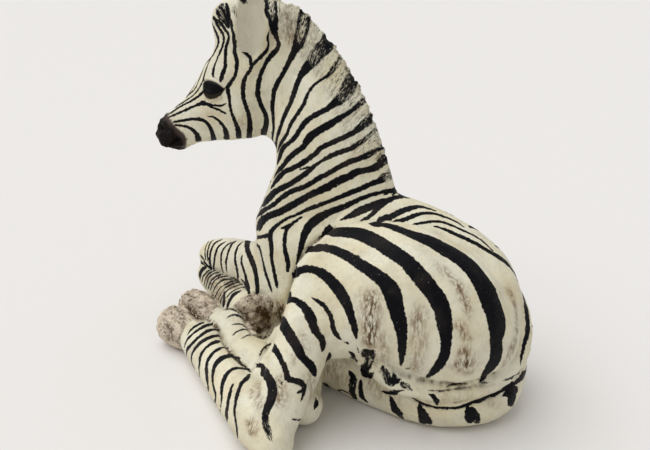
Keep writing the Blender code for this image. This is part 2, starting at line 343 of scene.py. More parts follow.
def patch(outline, both_sides=False):
    """How far inside a picture outline each point of the surface is, in millimetres.

    On both sides, the far half of the head is read as the mirror image of the near half.
    """
    seen, facing = surface_points.copy(), normals.copy()
    if both_sides:
        aside = np.minimum((surface_points - head(0, 0)) @ ASIDE, 0)
        seen -= 2 * aside[:, None] * ASIDE
        facing -= 2 * np.where(aside < 0, facing @ ASIDE, 0)[:, None] * ASIDE
    places = in_picture(seen)
    outline = np.array(outline, float)
    close = (places > outline.min(axis=0) - BEYOND) & (places < outline.max(axis=0) + BEYOND)
    close = np.nonzero(close.all(axis=1) & (facing @ to_camera > TURNED_AWAY))[0]
    if not both_sides:
        shown = []
        for k in close:
            way = surface_points[k] - eye_point
            hit = surface.ray_cast(Vector(eye_point), Vector(way).normalized())[0]
            shown.append(hit is None or (hit - Vector(surface_points[k])).length < HIDDEN_BY)
        close = close[np.array(shown, bool)]
    found = np.full(count, -BEYOND)
    away = np.linalg.norm(seen[close] - eye_point, axis=1)
    found[close] = depth_inside(places[close], outline) * away * 1000 / FOCAL_PIXELS
    return found


STRIDE = 1.5 * DAB
LOWEST = 0.3e-3  # no stroke runs on round the lower edge


def run_on(path, length):
    """Points that carry a stroke on over the surface, as straight as the form allows."""
    found = []
    place, way = path[-1], path[-1] - path[-3]
    for _ in range(int(length * 1e-3 / STRIDE)):
        _, normal = on_surface(place)
        way = unit(way - normal * (way @ normal))
        place, _ = on_surface(place + way * STRIDE)
        if place[2] < LOWEST:
            break
        found.append(place)
    return found


# The foal's middle: from the crest down to the throat and the chest, and across the head.
NECK_LINES = (
    ((-9.6, -1, 97.8), (-17, -5.5, 71)),
    ((-2.2, 1.8, 91), (-17.5, -5.5, 60.8)),
    ((6.6, 2.6, 82), (-11.6, -7, 58.4)),
    ((14.2, 2.2, 72), (-10.6, -8, 53.5)),
    ((18.7, 1.2, 64.5), (-15, -7.5, 45.5)),
    ((22.3, 1, 57), (-20.8, -6, 35)),
    ((20, 0.5, 50.5), (17, -5, -3)),
    ((35, 5, 48), (32, -8, -2)),
    ((49, 10, 41.5), (45, -10, -1.5)),
    ((57.8, 10.6, 33.4), (52.8, -12, 1)),
)
HEAD_LINES = (((5, -1), (-14, -20)), ((13.5, -16.8), (-1, -38.4)), ((24.5, -30.6), (17.5, -41)))

middle_lines = [(head(*top), head(*low), ASIDE) for top, low in HEAD_LINES]
spine = np.array(NECK_LINES, float) * PART
for number, along in enumerate(np.gradient(spine.mean(axis=1), axis=0)):
    top, low = spine[number]
    aside = np.cross(along, top - low)
    middle_lines.append((top, low, -unit(aside)))


def across(point):
    """The point's mirror image through the foal's own middle, which turns with the neck."""
    total, facing, weight = np.zeros(3), np.zeros(3), 0.0
    for top, low, aside in middle_lines:
        share = np.clip((point - low) @ (top - low) / ((top - low) @ (top - low)), 0, 1)
        nearest = low + share * (top - low)
        near = 1 / (((point - nearest) @ (point - nearest)) ** 2 + 1e-12)
        if (middle_lines[-1][2] @ aside) < 0:
            aside = -aside
        total, facing, weight = total + nearest * near, facing + aside * near, weight + near
    centre, facing = total / weight, unit(facing)
    return point - 2 * ((point - centre) @ facing) * facing


# A tool's path, the width of its mark and its height in millimetres, raised or sunk.
MARKS = (
    # the haunch's front edge
    (((349, 217), (341, 222), (331, 230), (321, 237), (312, 244), (304, 252), (298, 262), (294, 272),
     (291, 284), (288, 296), (283, 308), (278, 320), (275, 332)), 1.4, -2.0),
    # the fore cannon below the forearm, and its fetlock
    (((199, 257), (204, 262), (209, 267), (215, 270), (222, 273), (229, 277), (236, 281), (243, 286),
     (248, 292)), 1.1, -1.5),
    (((201, 283), (207, 290), (213, 297), (219, 304), (223, 308), (230, 309)), 1.2, -1.4),
    (((204, 272), (213, 279), (222, 287), (231, 296)), 3.5, 1.0),
    # the fore hoof: round it, its rim and its cleft
    (((230, 309), (237, 311), (243, 317), (247, 324), (250, 331), (256, 336), (264, 337), (271, 333),
     (275, 327)), 1.2, -1.8),
    (((249, 293), (256, 293), (262, 295), (268, 300), (272, 307), (274.5, 315), (275.5, 325)), 1.3, -2.2),
    (((249, 294), (243, 298), (238, 303), (234, 308)), 0.8, -0.6),
    (((253, 295), (255, 303), (256, 312), (257, 320), (258, 328)), 0.9, -0.9),
    (((250, 331), (257, 332.5), (265, 331), (271, 327)), 0.9, -0.6),
    (((275, 300), (277, 308), (278, 316)), 3.0, -1.5),
    # between the two hind cannons, and the far one against the gaskin
    (((204, 321), (212, 323), (219, 330), (223, 341), (229, 351), (237, 360), (245, 367), (251, 372)),
     1.3, -2.2),
    (((251, 371), (256, 365), (261, 356), (266, 348), (270, 342), (275, 332), (280, 320)), 1.3, -1.8),
    (((214, 320), (224, 331), (234, 345), (246, 361)), 3.2, 0.9),
    (((200, 333), (212, 344), (224, 358), (238, 374)), 5.0, 0.7),
    # the hind hooves: between them, their coronets and the near one's cleft
    (((182, 303), (189, 308), (195, 315), (201, 321)), 1.5, -2.4),
    (((204, 322), (196, 326), (189, 332), (185, 340), (184, 349)), 0.9, -0.8),
    (((213, 297), (217, 303), (219, 308)), 0.9, -0.7),
    (((159, 326), (165, 331), (168, 337), (167, 344)), 1.4, -1.8),
    (((176, 345), (180, 335), (184, 327)), 1.2, -0.9),
    (((170, 318), (180, 322), (190, 321)), 1.4, -0.8),
    (((164, 308), (172, 313), (178, 321), (180, 330)), 1.2, -0.8),
    (((184, 292), (194, 297), (203, 300)), 1.3, -0.8),
    (((196, 306), (205, 308), (211, 305)), 1.3, -0.9),
    (((181, 312), (176, 306), (178, 300), (184, 296)), 1.4, -1.2),
    # the gaskin's tendon, the hock and the stifle
    (((283, 372), (280, 386), (281, 398), (276, 412)), 2.2, -0.7),
    (((303, 384), (297, 400), (290, 418), (283, 434)), 2.0, 0.6),
    (((254, 388), (250, 400), (249, 418), (252, 436)), 3.0, -0.5),
    (((262, 398), (259, 416), (262, 438)), 2.6, 0.5),
    (((316, 378), (308, 391), (304, 404)), 1.5, -1.0),
    # the tail: above it, below it and its own roundness
    (((412, 386), (428, 390.5), (441, 391.5), (456, 389.5), (474, 387), (490, 384), (504, 381),
     (518, 375), (527, 366)), 1.1, -1.0),
    (((412, 398.5), (420, 403.5), (428, 406.5), (437, 408.5), (447, 409), (457, 408.5), (466, 406),
     (475, 402.5), (486, 398.5), (496, 395), (508, 391)), 1.1, -1.3),
    (((420, 396), (434, 399), (450, 399), (466, 397), (484, 392), (502, 386)), 3.2, 0.8),
    (((416, 385), (420, 391), (426, 394), (433, 396)), 0.9, -0.7),
    # the switch of the tail
    (((384, 366), (390, 374), (399, 381), (410, 385)), 3.0, 1.0),
    (((386, 363), (394, 371), (404, 377)), 0.8, -0.7),
    (((380, 368), (385, 378), (393, 386)), 0.8, -0.7),
    (((390, 370), (396, 378), (404, 384)), 0.7, -0.5),
    (((376, 388), (386, 390), (398, 390)), 0.8, -0.7),
    (((362, 350), (364, 360), (362, 370)), 0.8, -0.7),
    (((376, 351), (376, 362), (373, 372)), 0.8, -0.7),
    (((355, 346), (356, 356), (361, 366), (370, 376)), 3.0, 0.8),
    (((346, 348), (352, 358), (358, 368), (368, 378)), 0.9, -0.8),
)
HEAD_MARKS = (
    # the lids, the hollow before the eye, the cheek, the nostril and the mouth
    (((202, 79), (207, 78.5), (213, 79.5), (219, 82.5), (225, 87)), 0.9, 0.7),
    (((203, 93), (206, 97.5), (211, 100), (217, 98), (223, 93)), 0.9, 0.5),
    (((197, 90), (190, 96), (183, 102)), 2.2, -0.5),
    (((228, 96), (231, 108), (236, 121), (240, 134)), 2.4, -0.5),
    (((205, 108), (214, 112), (224, 116)), 2.4, 0.4),
    (((159, 124), (161, 128), (164, 130)), 1.3, -1.8),
    (((158, 118), (162, 121), (167, 126), (171, 131)), 1.8, 0.9),
    (((168, 131), (174, 134), (180, 136), (186, 138)), 1.4, 0.7),
    (((169, 151), (170, 147), (172, 143.5), (176, 140.5), (181, 139)), 1.0, -2.0),
    (((160, 134), (164, 138), (168, 140)), 1.4, 0.7),
    (((176, 145), (182, 145), (188, 144)), 1.6, 0.6),
    (((172, 118), (176, 124), (182, 129)), 1.4, -0.5),
    # the ear's rim and the fold at its root
    (((240, 3), (236, 16), (234, 30), (234, 44), (237, 53), (243, 57), (250, 61)), 1.1, 0.8),
    (((266, 4), (267, 18), (268, 32), (267, 44), (262, 52), (255, 58)), 1.1, 0.7),
    (((244, 56), (249, 61), (253, 65)), 0.9, -0.8),
)
EAR_HOLLOW = (
    (240, -6), (237, 12), (236, 30), (237, 45), (242, 54), (250, 60), (258, 53), (264, 44), (266, 30),
    (265, 12), (262, -6),
)
SNOUT = (
    (168, 104), (170, 114), (174, 121), (180, 128), (188, 136), (192, 144), (190, 160), (144, 152),
    (144, 124), (154, 106),
)
EYE = (
    (203, 84), (205, 81.2), (210, 80.8), (216, 83), (221, 86.5), (224, 89.3), (220.5, 91.8), (215, 93.8),
    (210, 94.2), (205.5, 92.2), (203.2, 88.5),
)
FORE_HOOF = (
    (236, 302), (243, 297), (250, 294), (257, 294), (263, 296), (268, 301), (271, 308), (273, 317),
    (273.5, 327), (269, 333.5), (262, 336), (254, 334), (249, 329), (246, 322), (241, 315), (236, 310),
    (233.5, 306),
)

# Places that are pushed over the surface: where, how far round, and how many pixels.
PUSHES = (
    (((352, 225), (342, 233), (332, 243), (323, 253), (314, 263)), 10, (-11, 0)),
    (((306, 276), (300, 288)), 9, (-4, 0)),
)

for places, reach, (right, down) in PUSHES:
    _, path, _ = seen_path(places)
    near, far, _ = nearest_on(path, reach * 2.5e-3)
    shift = (view_right * right - view_up * down) * VIEW_DISTANCE / FOCAL_PIXELS
    surface_points[near] += np.exp(-((far * 1000 / reach) ** 2))[:, None] * shift
write(casting, surface_points)
evened(casting, 3)
surface_points = read(casting.vertices).astype(float)
surface = BVHTree.FromPolygons([Vector(p) for p in surface_points], surface_faces)
normals = read(casting.vertices, "normal").astype(float)

TOOL_WEIGHT, TOOL_SPREAD = 1.15, 1.1
EYE_BULGE, LID_GROOVE = 1.1, 0.7
EAR_RIM, EAR_DEPTH = 1.4, 1.4
HOOF_BULGE = 2.6

relief = np.zeros(count)
for table, both_sides in ((MARKS, False), (HEAD_MARKS, True)):
    for places, width, height in table:
        relief += height * TOOL_WEIGHT * pressed(places, width * TOOL_SPREAD, both_sides)
eye, ear, fore_hoof = patch(EYE, both_sides=True), patch(EAR_HOLLOW, both_sides=True), patch(FORE_HOOF)
relief += EYE_BULGE * np.clip(eye / 2.6, 0, 1) ** 0.5 - LID_GROOVE * np.exp(-(((eye - 0.1) / 0.55) ** 2))
relief -= EAR_RIM * np.clip(ear / 1.6, 0, 1) + EAR_DEPTH * np.clip(ear / 7, 0, 1)
relief += HOOF_BULGE * np.clip(fore_hoof / 5, 0, 1) ** 0.7


def every(size):
    """The scale of a noise whose forms are about so many millimetres across."""
    return 1000 / size


BARELY = 0.05


def lump(felt, height, size=3.7, fine=0.6):
    """Raises and sinks the clay in lumps of a size and of half of it, all in millimetres."""
    for k in np.nonzero(felt > BARELY)[0]:
        raised = noise.noise(surface_points[k] * every(size))
        raised += fine * noise.noise(surface_points[k] * every(size / 2.1))
        relief[k] += felt[k] * height * raised


UNEVENNESS = 0.4
lump(np.ones(count), UNEVENNESS, 12.5, 0.65)

# The mane's hair runs down and forward from the crest, along lines of equal hair_along. It is
# scratched in strands, and the crest itself is left torn.
MANE_REACH = 34e-3
MANE_DEPTH, MANE_EDGE, CREST_HALF = 27, 5, 6
STRAND_HEIGHT, STRAND_PITCH = 0.9, 0.38
crest = np.array([(-15, -4, 100.5), *(top for top, _ in NECK_LINES[:6])], float)
crest = smooth_through(crest * PART, 12)
at, crest, _ = evenly(crest)
near, far, index = nearest_on(crest, MANE_REACH)
ways = unit(np.gradient(crest, axis=0))
along = at[index] + ((surface_points[near] - crest[index]) * ways[index]).sum(axis=1)
hair_along, in_mane, ridge = np.full(count, -60.0), np.zeros(count), np.zeros(count)
hair_along[near] = (along - 0.6 * far) * 1000
to_withers = (at[-1] - at[index]) * 1000
in_mane[near] = np.clip((MANE_DEPTH - far * 1000) / MANE_EDGE, 0, 1) * np.clip(to_withers / 12, 0, 1)
ridge[near] = np.exp(-((far * 1000 / CREST_HALF) ** 2)) * np.clip(to_withers / 8, 0, 1)
for k in np.nonzero(in_mane)[0]:
    strand = noise.noise((hair_along[k] * STRAND_PITCH, surface_points[k, 2] * 60, 0))
    relief[k] += in_mane[k] * STRAND_HEIGHT * strand
lump(ridge, 1.9)

# The hooves and the muzzle are left lumpy, and the clay is torn at the tail's switch, at the
# rump's edge and along the top of the tail.
HIND_HOOVES = ((-30, -38, 6), (-34, -27, 6.5))
TORN = (
    (((357, 350), (366, 364), (382, 374), (402, 385)), 6.0, 1.7),
    (((531, 326), (535, 340), (534, 354), (530, 368)), 5.0, 1.7),
    (((430, 388), (455, 387), (480, 384), (505, 379), (523, 370)), 2.4, 1.2),
)
for middle in HIND_HOOVES:
    away = np.linalg.norm(surface_points - body(*middle), axis=1) / PART
    lump(np.clip((7 - away) / 2, 0, 1), 1.7)
lump(np.clip(fore_hoof, 0, 1), 1.5)
lump(np.clip(patch(SNOUT, both_sides=True) / 2, 0, 1), 1.4, 5.2, 0.25)
for places, width, height in TORN:
    lump(pressed(places, width), height)
relief[surface_points[:, 2] < 1.5 * GROUNDED] = 0
surface_points += normals * relief[:, None] * 1e-3
surface_points = np.clip(surface_points, *np.array(cad_box))
write(casting, surface_points)
surface = BVHTree.FromPolygons([Vector(p) for p in surface_points], surface_faces)
normals = read(casting.vertices, "normal").astype(float)

# The painted stripes. Black underglaze, drawn freehand with a round brush that is pressed and
# lifted, so each stroke swells and tapers. Toward the mane the brush runs dry over the relief.
SPARE = 2.6e-3  # the room beside a stroke for its frayed edge
LAYERS = 10  # strokes that come close to each other lie in different layers
HIDDEN_GAP = 6.5e-3  # a wider gap between two steps means that the form hides what is there
TORN_APART = 12e-3  # a mirrored stroke with such a gap is left out
OVER_EDGE = 2.5
THINNEST = 0.3
WIDEST = 1.8  # how much wider than in the picture a stroke may get where the form turns away

strokes = []


def lay(path, widths, loads, before=0.0, after=0.0):
    """Adds one stroke, carried on past its ends by so many millimetres."""
    if len(path) < 4:
        return
    path, widths, loads = np.array(path), np.array(widths), np.array(loads)
    for length, end in ((after, -1), (before, 0)):
        more = run_on(path if end else path[::-1], length)
        if more:
            path = np.vstack((path, more) if end else (more[::-1], path))
            sides = (0, len(more)) if end else (len(more), 0)
            widths, loads = np.pad(widths, sides, "edge"), np.pad(loads, sides, "edge")
    strokes.append((path, widths / 2, loads))


def stroke(places, load=1.0, seen_from=camera_stand):
    """Lays a stroke through picture places: x, y, width in pixels, and how full the brush is.

    Where the form hides part of it, it is laid in two parts that run on over the edge.
    """
    fine = smooth_through([row if len(row) == 4 else (*row, load) for row in places], 5)
    ways = np.gradient(fine[:, :2], axis=0)
    middle = fine[len(fine) // 2, :2]
    path, widths, loads, before = [], [], [], 0.0
    for (x, y, width, full), way in zip(fine, unit(ways)):
        place = seen_near(x, y, middle, seen_from)
        if place is None:
            continue
        width = max(width, THINNEST)
        side = np.array((-way[1], way[0])) * width / 2
        one = seen_at(x + side[0], y + side[1], seen_from)
        two = seen_at(x - side[0], y - side[1], seen_from)
        wide = width * np.linalg.norm(place - seen_from[0]) / FOCAL_PIXELS
        if one is not None and two is not None:
            wide = min(np.linalg.norm(one - two), WIDEST * wide)
        if path and np.linalg.norm(place - path[-1]) > HIDDEN_GAP:
            lay(path, widths, loads, before, OVER_EDGE)
            path, widths, loads, before = [], [], [], OVER_EDGE
        path.append(place)
        widths.append(wide)
        loads.append(full)
    lay(path, widths, loads, before)


def mirrored(which):
    """The same strokes on the foal's other side, where they land on its surface."""
    made = []
    for path, halves, loads in which:
        landed = np.array([on_surface(across(point))[0] for point in path[::2]])
        if np.linalg.norm(np.diff(landed, axis=0), axis=1).max() < TORN_APART:
            made.append((landed, halves[::2], loads[::2]))
    return made


FACE = (
    # down the nose, the forehead and the brow
    ((203, 70, 0.8), (198.5, 81, 0.8), (195.5, 88, 0.8), (189.5, 94, 0.8), (182, 99, 0.8), (174, 104, 1),
     (167, 109, 1.4), (163, 113, 2)),
    ((203.8, 77, 0.8), (200.5, 85.5, 0.9), (194.5, 94, 0.9), (186, 100.5, 0.9), (178, 105.3, 1),
     (170.5, 110.3, 1.4)),
    ((211, 20, 1.5), (214, 28, 1.6), (217, 35, 1.8), (218.5, 41, 1.8), (217, 47, 1.5), (214, 53, 1.2),
     (210, 60, 1), (206.5, 68, 1), (204, 76, 1.4), (203, 80, 1.6)),
    ((215, 20, 2), (219, 28, 2), (223, 34, 2), (224, 40, 2), (222.5, 46, 1.6), (220, 52, 1.4),
     (217, 59, 1.4), (214.5, 66, 1.6), (213, 72, 2), (213, 77, 1.6)),
    ((219, 20, 1.8), (224, 28, 2.2), (228, 34, 2.2), (228.5, 40, 2.4), (226.5, 45, 2.4), (225.5, 52, 3),
     (225.5, 60, 3.2), (225, 67, 3.4), (222.5, 74, 4), (220.5, 81, 3)),
    # behind the eye
    ((226, 8, 6, 0.56), (228, 16, 5.6, 0.58), (231, 25, 3.4, 0.8), (232.5, 33, 2.4), (233.5, 42, 3),
     (234, 50, 3.4), (236, 56, 3.6), (237, 62, 3.4), (236.5, 69, 3.2), (235, 76, 3), (231, 82, 3.4),
     (228, 87, 3.6), (228, 92, 3.4), (229.5, 99, 2.8), (230, 106, 2.6), (231.5, 112, 2.4), (234, 119, 3),
     (237, 126, 4), (238.5, 132, 5), (238.5, 138, 5.6)),
    # before and under the eye
    ((204, 91, 2.4), (200.5, 94.5, 2), (196, 98, 1.8), (190, 101.5, 1.6), (184, 104.5, 1.4),
     (178, 108, 1.4), (172, 112, 1.4), (167, 115, 1.5)),
    ((168, 117.5, 1), (175, 114.5, 1.5), (182, 111.5, 1.8), (190, 108, 2), (197, 105, 2.4),
     (203, 103, 4.4), (209, 104.8, 2.4), (215, 105.5, 1.8), (221, 105.5, 1.6), (226, 103.5, 1)),
    ((205, 103.5, 2), (210, 106, 2), (215, 108.3, 1.8), (221, 110.8, 1.8), (226, 113.5, 1)),
    # over the mouth and the jaw
    ((173, 122, 1.4), (180, 121, 2), (188, 119.5, 2.4), (196, 119, 2.8), (202, 120, 3), (207, 123, 3),
     (210, 127, 3.2), (212, 132, 3.4), (213.5, 137, 3.8), (214, 141, 4.4)),
    ((175, 125, 1.4), (181, 125.5, 1.8), (187, 127, 2.2), (192, 129.5, 2.8), (196, 133, 3.6),
     (198, 137, 4.8), (198.5, 141, 6)),
    ((208, 116.5, 0.8), (213, 117, 1.6), (218, 120, 2), (222, 124.5, 2.6), (225, 129, 3.4),
     (226.5, 134, 4.6), (226.5, 139, 5.8)),
    # the cheek, and round the ear's root
    ((252, 65, 2.4), (250, 70, 3), (246, 76, 3), (243.5, 83, 4), (243, 90, 4.2), (243.5, 98, 3.8),
     (245.5, 105, 3.4), (248, 112, 3.6), (249.5, 119, 4.6), (250, 126, 5), (249.5, 132, 5),
     (249, 138, 5)),
    ((243, 52.5, 1.2), (246.5, 54, 2.6), (250, 58, 2.8), (251, 65, 2.8)),
    ((268.5, 33, 1.6), (268, 39, 2), (268.5, 44, 1.4), (267, 49, 2.6), (264, 53, 3), (260, 57.5, 2.8),
     (256, 61.5, 2.6), (252, 65.5, 2.4)),
    ((265.5, 0, 3), (266.5, 8, 2.6), (268, 17, 2.4), (270, 25, 2.6), (272, 30, 3)),
    ((272, 26, 6), (274.5, 32, 6), (276.5, 37, 3.8), (278.5, 42, 3.4), (278, 47, 4), (275, 51.5, 5),
     (271, 56, 4.6), (267, 61, 4), (264, 67, 3.6), (261, 74, 3.6), (259, 81, 4), (258, 88, 4.4),
     (258, 95, 4.2), (260, 102, 4), (263, 109, 4), (266, 116, 4), (267, 122, 4.4), (266, 127, 4.4),
     (264.5, 131, 4.8), (263, 135, 4.6)),
)
# The forelock, the ear's back and the first hairs behind it.
FORELOCK = (
    ((213, 42, 1, 0.6), (209.5, 57, 1, 0.6), (204, 67, 1, 0.6), (200, 78, 1, 0.6)),
    ((270.5, 0, 8, 0.5), (271.5, 9, 9, 0.5), (272.5, 18, 8, 0.55), (273, 25, 6, 0.7)),
    ((275.5, 0, 2), (276, 10, 2), (276.5, 20, 3), (276, 28, 4), (274, 33, 5)),
    ((222, 5, 7, 0.56), (220, 9, 9, 0.54), (221, 14, 8, 0.54), (225, 19, 6, 0.56), (229, 25, 4, 0.66)),
    ((226, 3, 2.6), (227.5, 9, 3), (228.5, 15, 2.6), (229.5, 21, 2.4), (231.5, 28, 2.4)),
    ((219, 7, 2), (222, 9, 2.4), (224, 13, 2), (226, 18, 1.6)),
    ((217, 10, 2), (218, 13.5, 3), (221, 16, 2.4)),
    ((213, 17, 2, 0.7), (215.5, 20, 3, 0.6), (219, 23, 3, 0.6), (223, 27, 2, 0.6)),
    ((218, 17, 1.4), (222, 20, 1.6), (226, 24.5, 1.4), (229, 29, 1)),
    ((211.5, 9, 1, 0.6), (210.5, 13, 1.2, 0.6), (211, 18, 1.4, 0.7)),
    ((232, 7, 3, 0.5), (234.5, 11, 5, 0.5), (236.5, 17, 3, 0.45)),
    ((240, -2, 4, 0.6), (244, 1, 5, 0.6), (247, 3, 2, 0.5)),
)
NECK = (
    # from the crest down to the chest
    ((304, 11, 5, 0.5), (304, 20, 9, 0.52), (302.5, 30, 9.5, 0.5), (300, 40, 9, 0.52), (296, 48, 8, 0.8),
     (293, 54, 6), (289, 62, 4.8), (285, 70, 4.2), (281, 77, 4.2), (276.5, 85, 4.4), (274, 92, 4.2),
     (273, 100, 3.8), (272.5, 108, 3.6), (273, 115, 3), (273.5, 122, 2.4), (273.5, 130, 2),
     (272.5, 138, 2), (272, 146, 2)),
    ((325, 36, 6, 0.7), (326, 43, 12, 0.62), (318, 53, 14, 0.55), (311, 63, 11, 0.58),
     (304, 71, 7.5, 0.9), (299, 79, 5), (296, 87, 4.6), (293, 96, 4.6), (290, 104, 4), (286.5, 111, 4),
     (284, 117, 3.6), (281.5, 124, 3), (279, 131, 3), (277, 138, 2.6), (275.5, 146, 2.2),
     (275, 154, 1.6)),
    ((341, 57, 5, 0.5), (336, 65, 6, 0.56), (329, 74, 4, 0.65), (321, 80, 2.4), (314, 85, 2.2),
     (310, 90, 2.4), (306.5, 97, 3), (304, 104, 3.4), (300, 110, 3.2), (296, 116, 3.4), (292, 122, 3.4),
     (289, 128, 2.6), (287, 134, 2.4), (283, 140, 3), (279.5, 146, 2), (277.5, 152, 1.4)),
    ((348, 68, 5, 0.45), (351, 77, 11, 0.56), (348, 88, 15, 0.58), (341, 98, 12, 0.55),
     (334, 104, 7.5, 0.85), (327, 109, 5), (318, 113.5, 5), (309, 119, 5), (303, 125, 5), (299, 131, 4.6),
     (295, 137, 4.4), (290, 142, 3.6), (284, 147, 4), (281, 152, 4), (279, 158, 3), (277, 164, 2)),
    ((366, 99, 3, 0.5), (362, 102, 5, 0.58), (356, 107, 4.6, 0.65), (350, 112, 4, 0.8), (343, 116, 5),
     (335, 121, 6.5), (327, 126, 7), (318, 131, 7), (311, 136, 8), (307, 141, 7), (303, 147, 5),
     (296, 152, 5), (290, 157, 5), (285, 163, 4), (281, 168, 3.4), (277, 172, 2.4), (274, 178, 1.4)),
    ((375, 115, 6, 0.45), (370, 119, 8, 0.6), (362, 126, 7.4, 0.64), (355, 131.5, 5.4, 0.85),
     (347, 136, 5), (338, 140, 5), (329, 144, 4.6), (321, 148, 4.6), (315, 154, 4.6), (308, 159, 4.6),
     (301, 164, 5), (293, 168, 4.6), (286, 171, 4.4), (280, 176, 4.4), (275, 182, 3), (271, 188, 1.6)),
    ((375, 130, 4, 0.5), (367, 138, 4.4, 0.58), (358, 144, 4.6, 0.64), (350, 149, 4.4, 0.9),
     (342, 151.5, 4.6), (334, 154.5, 4.6), (325, 159, 3.4), (317, 164, 3), (311, 169, 4.4), (305, 174, 5),
     (298, 179, 5), (290, 184, 5), (282, 188, 5), (275, 192, 5), (270, 197, 4.6), (265, 202, 4.2),
     (261, 207, 2.4)),
    ((312, 167.5, 2), (306, 168, 1.8), (300, 169.5, 1)),
    ((385, 147, 2.4, 0.6), (377, 150, 5, 0.56), (368, 155, 6, 0.62), (361, 158, 5, 0.9), (352, 161, 5.4),
     (345, 164, 5), (337, 168, 4.4), (329, 173, 4.6), (321, 177, 5), (313, 182, 4.6), (304, 187, 5),
     (295, 190, 4.6), (287, 194, 4.6), (280, 199, 4.2), (273, 205, 3.6), (266, 209, 3.2), (260, 213, 3.2),
     (256, 219, 2.4), (254, 226, 1.4)),
    ((389, 154, 6, 0.5), (384, 160, 9, 0.56), (376, 167, 7, 0.75), (366, 170, 5.4), (357, 172, 6.6),
     (348, 177, 7.4), (338, 181, 7.4), (328, 187, 7.4), (319, 191, 6.4), (310, 195, 6.2), (301, 200, 6.4),
     (293, 205, 6.4), (285, 209, 7), (277, 213, 6.4), (269, 216, 6.2), (262, 221, 5.4), (257, 228, 4.6),
     (253, 235, 3)),
    ((394, 170, 4, 0.6), (390, 175, 8, 0.5), (384, 179, 7, 0.52), (378.5, 181, 5.4, 1), (370, 184.5, 5),
     (360, 189, 4.6), (350, 193, 4.6), (340, 197, 3.8), (330, 201, 3.4), (320, 205, 3.6), (311, 208, 4),
     (304, 211, 3.2), (296, 215, 2.4), (288, 218, 2.4), (280, 223, 2.8), (273, 229, 4), (270, 235, 5),
     (271, 242, 4.2), (271.5, 250, 3.6), (271.5, 258, 3), (273, 266, 3), (274.5, 274, 3.2),
     (276, 281, 3.2), (277, 287, 2)),
    ((269, 235, 3.4), (263, 236.5, 3.2), (256, 237.5, 1.8)),
    # the shoulder and the withers
    ((302, 217, 1.6), (297, 220, 2.2), (291, 225, 2.8), (287, 229, 3.2), (285, 236, 3.6),
     (284.5, 243, 3.6), (285, 250, 3.8), (287, 257, 4.2), (288, 264, 4.2), (287.5, 271, 3)),
    ((281, 228.5, 1.4), (285, 227, 2.4), (290, 224, 2.4)),
    ((405, 191, 1.2), (396, 190, 2.6), (388, 190.5, 2.8), (378, 193, 3.2), (368, 196, 3.8),
     (358, 200, 4.4), (348, 205, 5.2), (338, 209, 6), (328, 213, 6.6), (319, 218, 8.4), (311, 224, 8.8),
     (306, 231, 7.4), (303, 239, 6.2), (301, 247, 5.2), (299, 255, 3.6), (296.5, 264, 1.4)),
    ((414, 197.5, 1.4), (405, 196.5, 2.8), (396, 197.5, 3.4), (388, 200.5, 5.4), (379, 203.5, 7),
     (370, 207, 7.4), (362, 210, 7.4), (354, 214, 6.6), (347, 217.5, 3.2), (340, 220, 1)),
    ((388, 201, 4), (381, 206, 4.4), (376, 210, 4.6), (372, 214.5, 4), (367, 218, 3.4), (360, 221, 1.2)),
)
# What the dry brush left on the mane's relief between the stripes.
MANE = (
    ((311, 20, 6, 0.4), (310, 32, 8, 0.42), (306, 46, 8, 0.4), (301, 58, 5, 0.36)),
    ((302, 8, 3, 0.64), (299, 20, 3, 0.6), (297, 32, 3, 0.6), (294, 45, 3, 0.7)),
    ((309, 17, 3, 0.6), (308, 27, 3.4, 0.6), (305, 37, 3, 0.6), (301, 48, 3, 0.7)),
    ((326, 34, 4, 0.7), (330, 42, 7, 0.68), (329, 48, 7, 0.66), (322, 56, 5, 0.6), (315, 64, 4, 0.6)),
    ((352, 76, 5, 0.6), (354, 84, 7, 0.66), (349, 92, 6, 0.6), (341, 100, 4, 0.6)),
    ((348, 66, 3, 0.52), (340, 78, 5, 0.46), (330, 90, 6, 0.42), (322, 96, 4, 0.36)),
    ((386, 146.5, 1.4, 0.8), (379, 149, 1.6, 0.75), (371, 152.5, 1.6, 0.75), (364, 156, 2, 0.8)),
    ((389, 153, 2, 0.7), (385, 160, 2, 0.65), (379, 166, 2, 0.7), (373, 169, 3, 0.8)),
    ((341, 72, 10, 0.42), (330, 85, 12, 0.4), (322, 92, 8, 0.36)),
    ((360, 95, 8, 0.42), (350, 104, 8, 0.42), (341, 110, 5, 0.36)),
    ((368, 112, 8, 0.42), (358, 119, 8, 0.4), (349, 124, 6, 0.36)),
    ((380, 137, 8, 0.42), (371, 143, 8, 0.42), (362, 150, 6, 0.36)),
    ((388, 152, 6, 0.4), (380, 158, 6, 0.42), (372, 163, 5, 0.36)),
    ((394, 168, 5, 0.4), (386, 172, 5, 0.42), (380, 175, 4, 0.36)),
)
for group in (FACE, FORELOCK, NECK, MANE):
    for places in group:
        stroke(places)
on_head_and_neck = len(strokes)

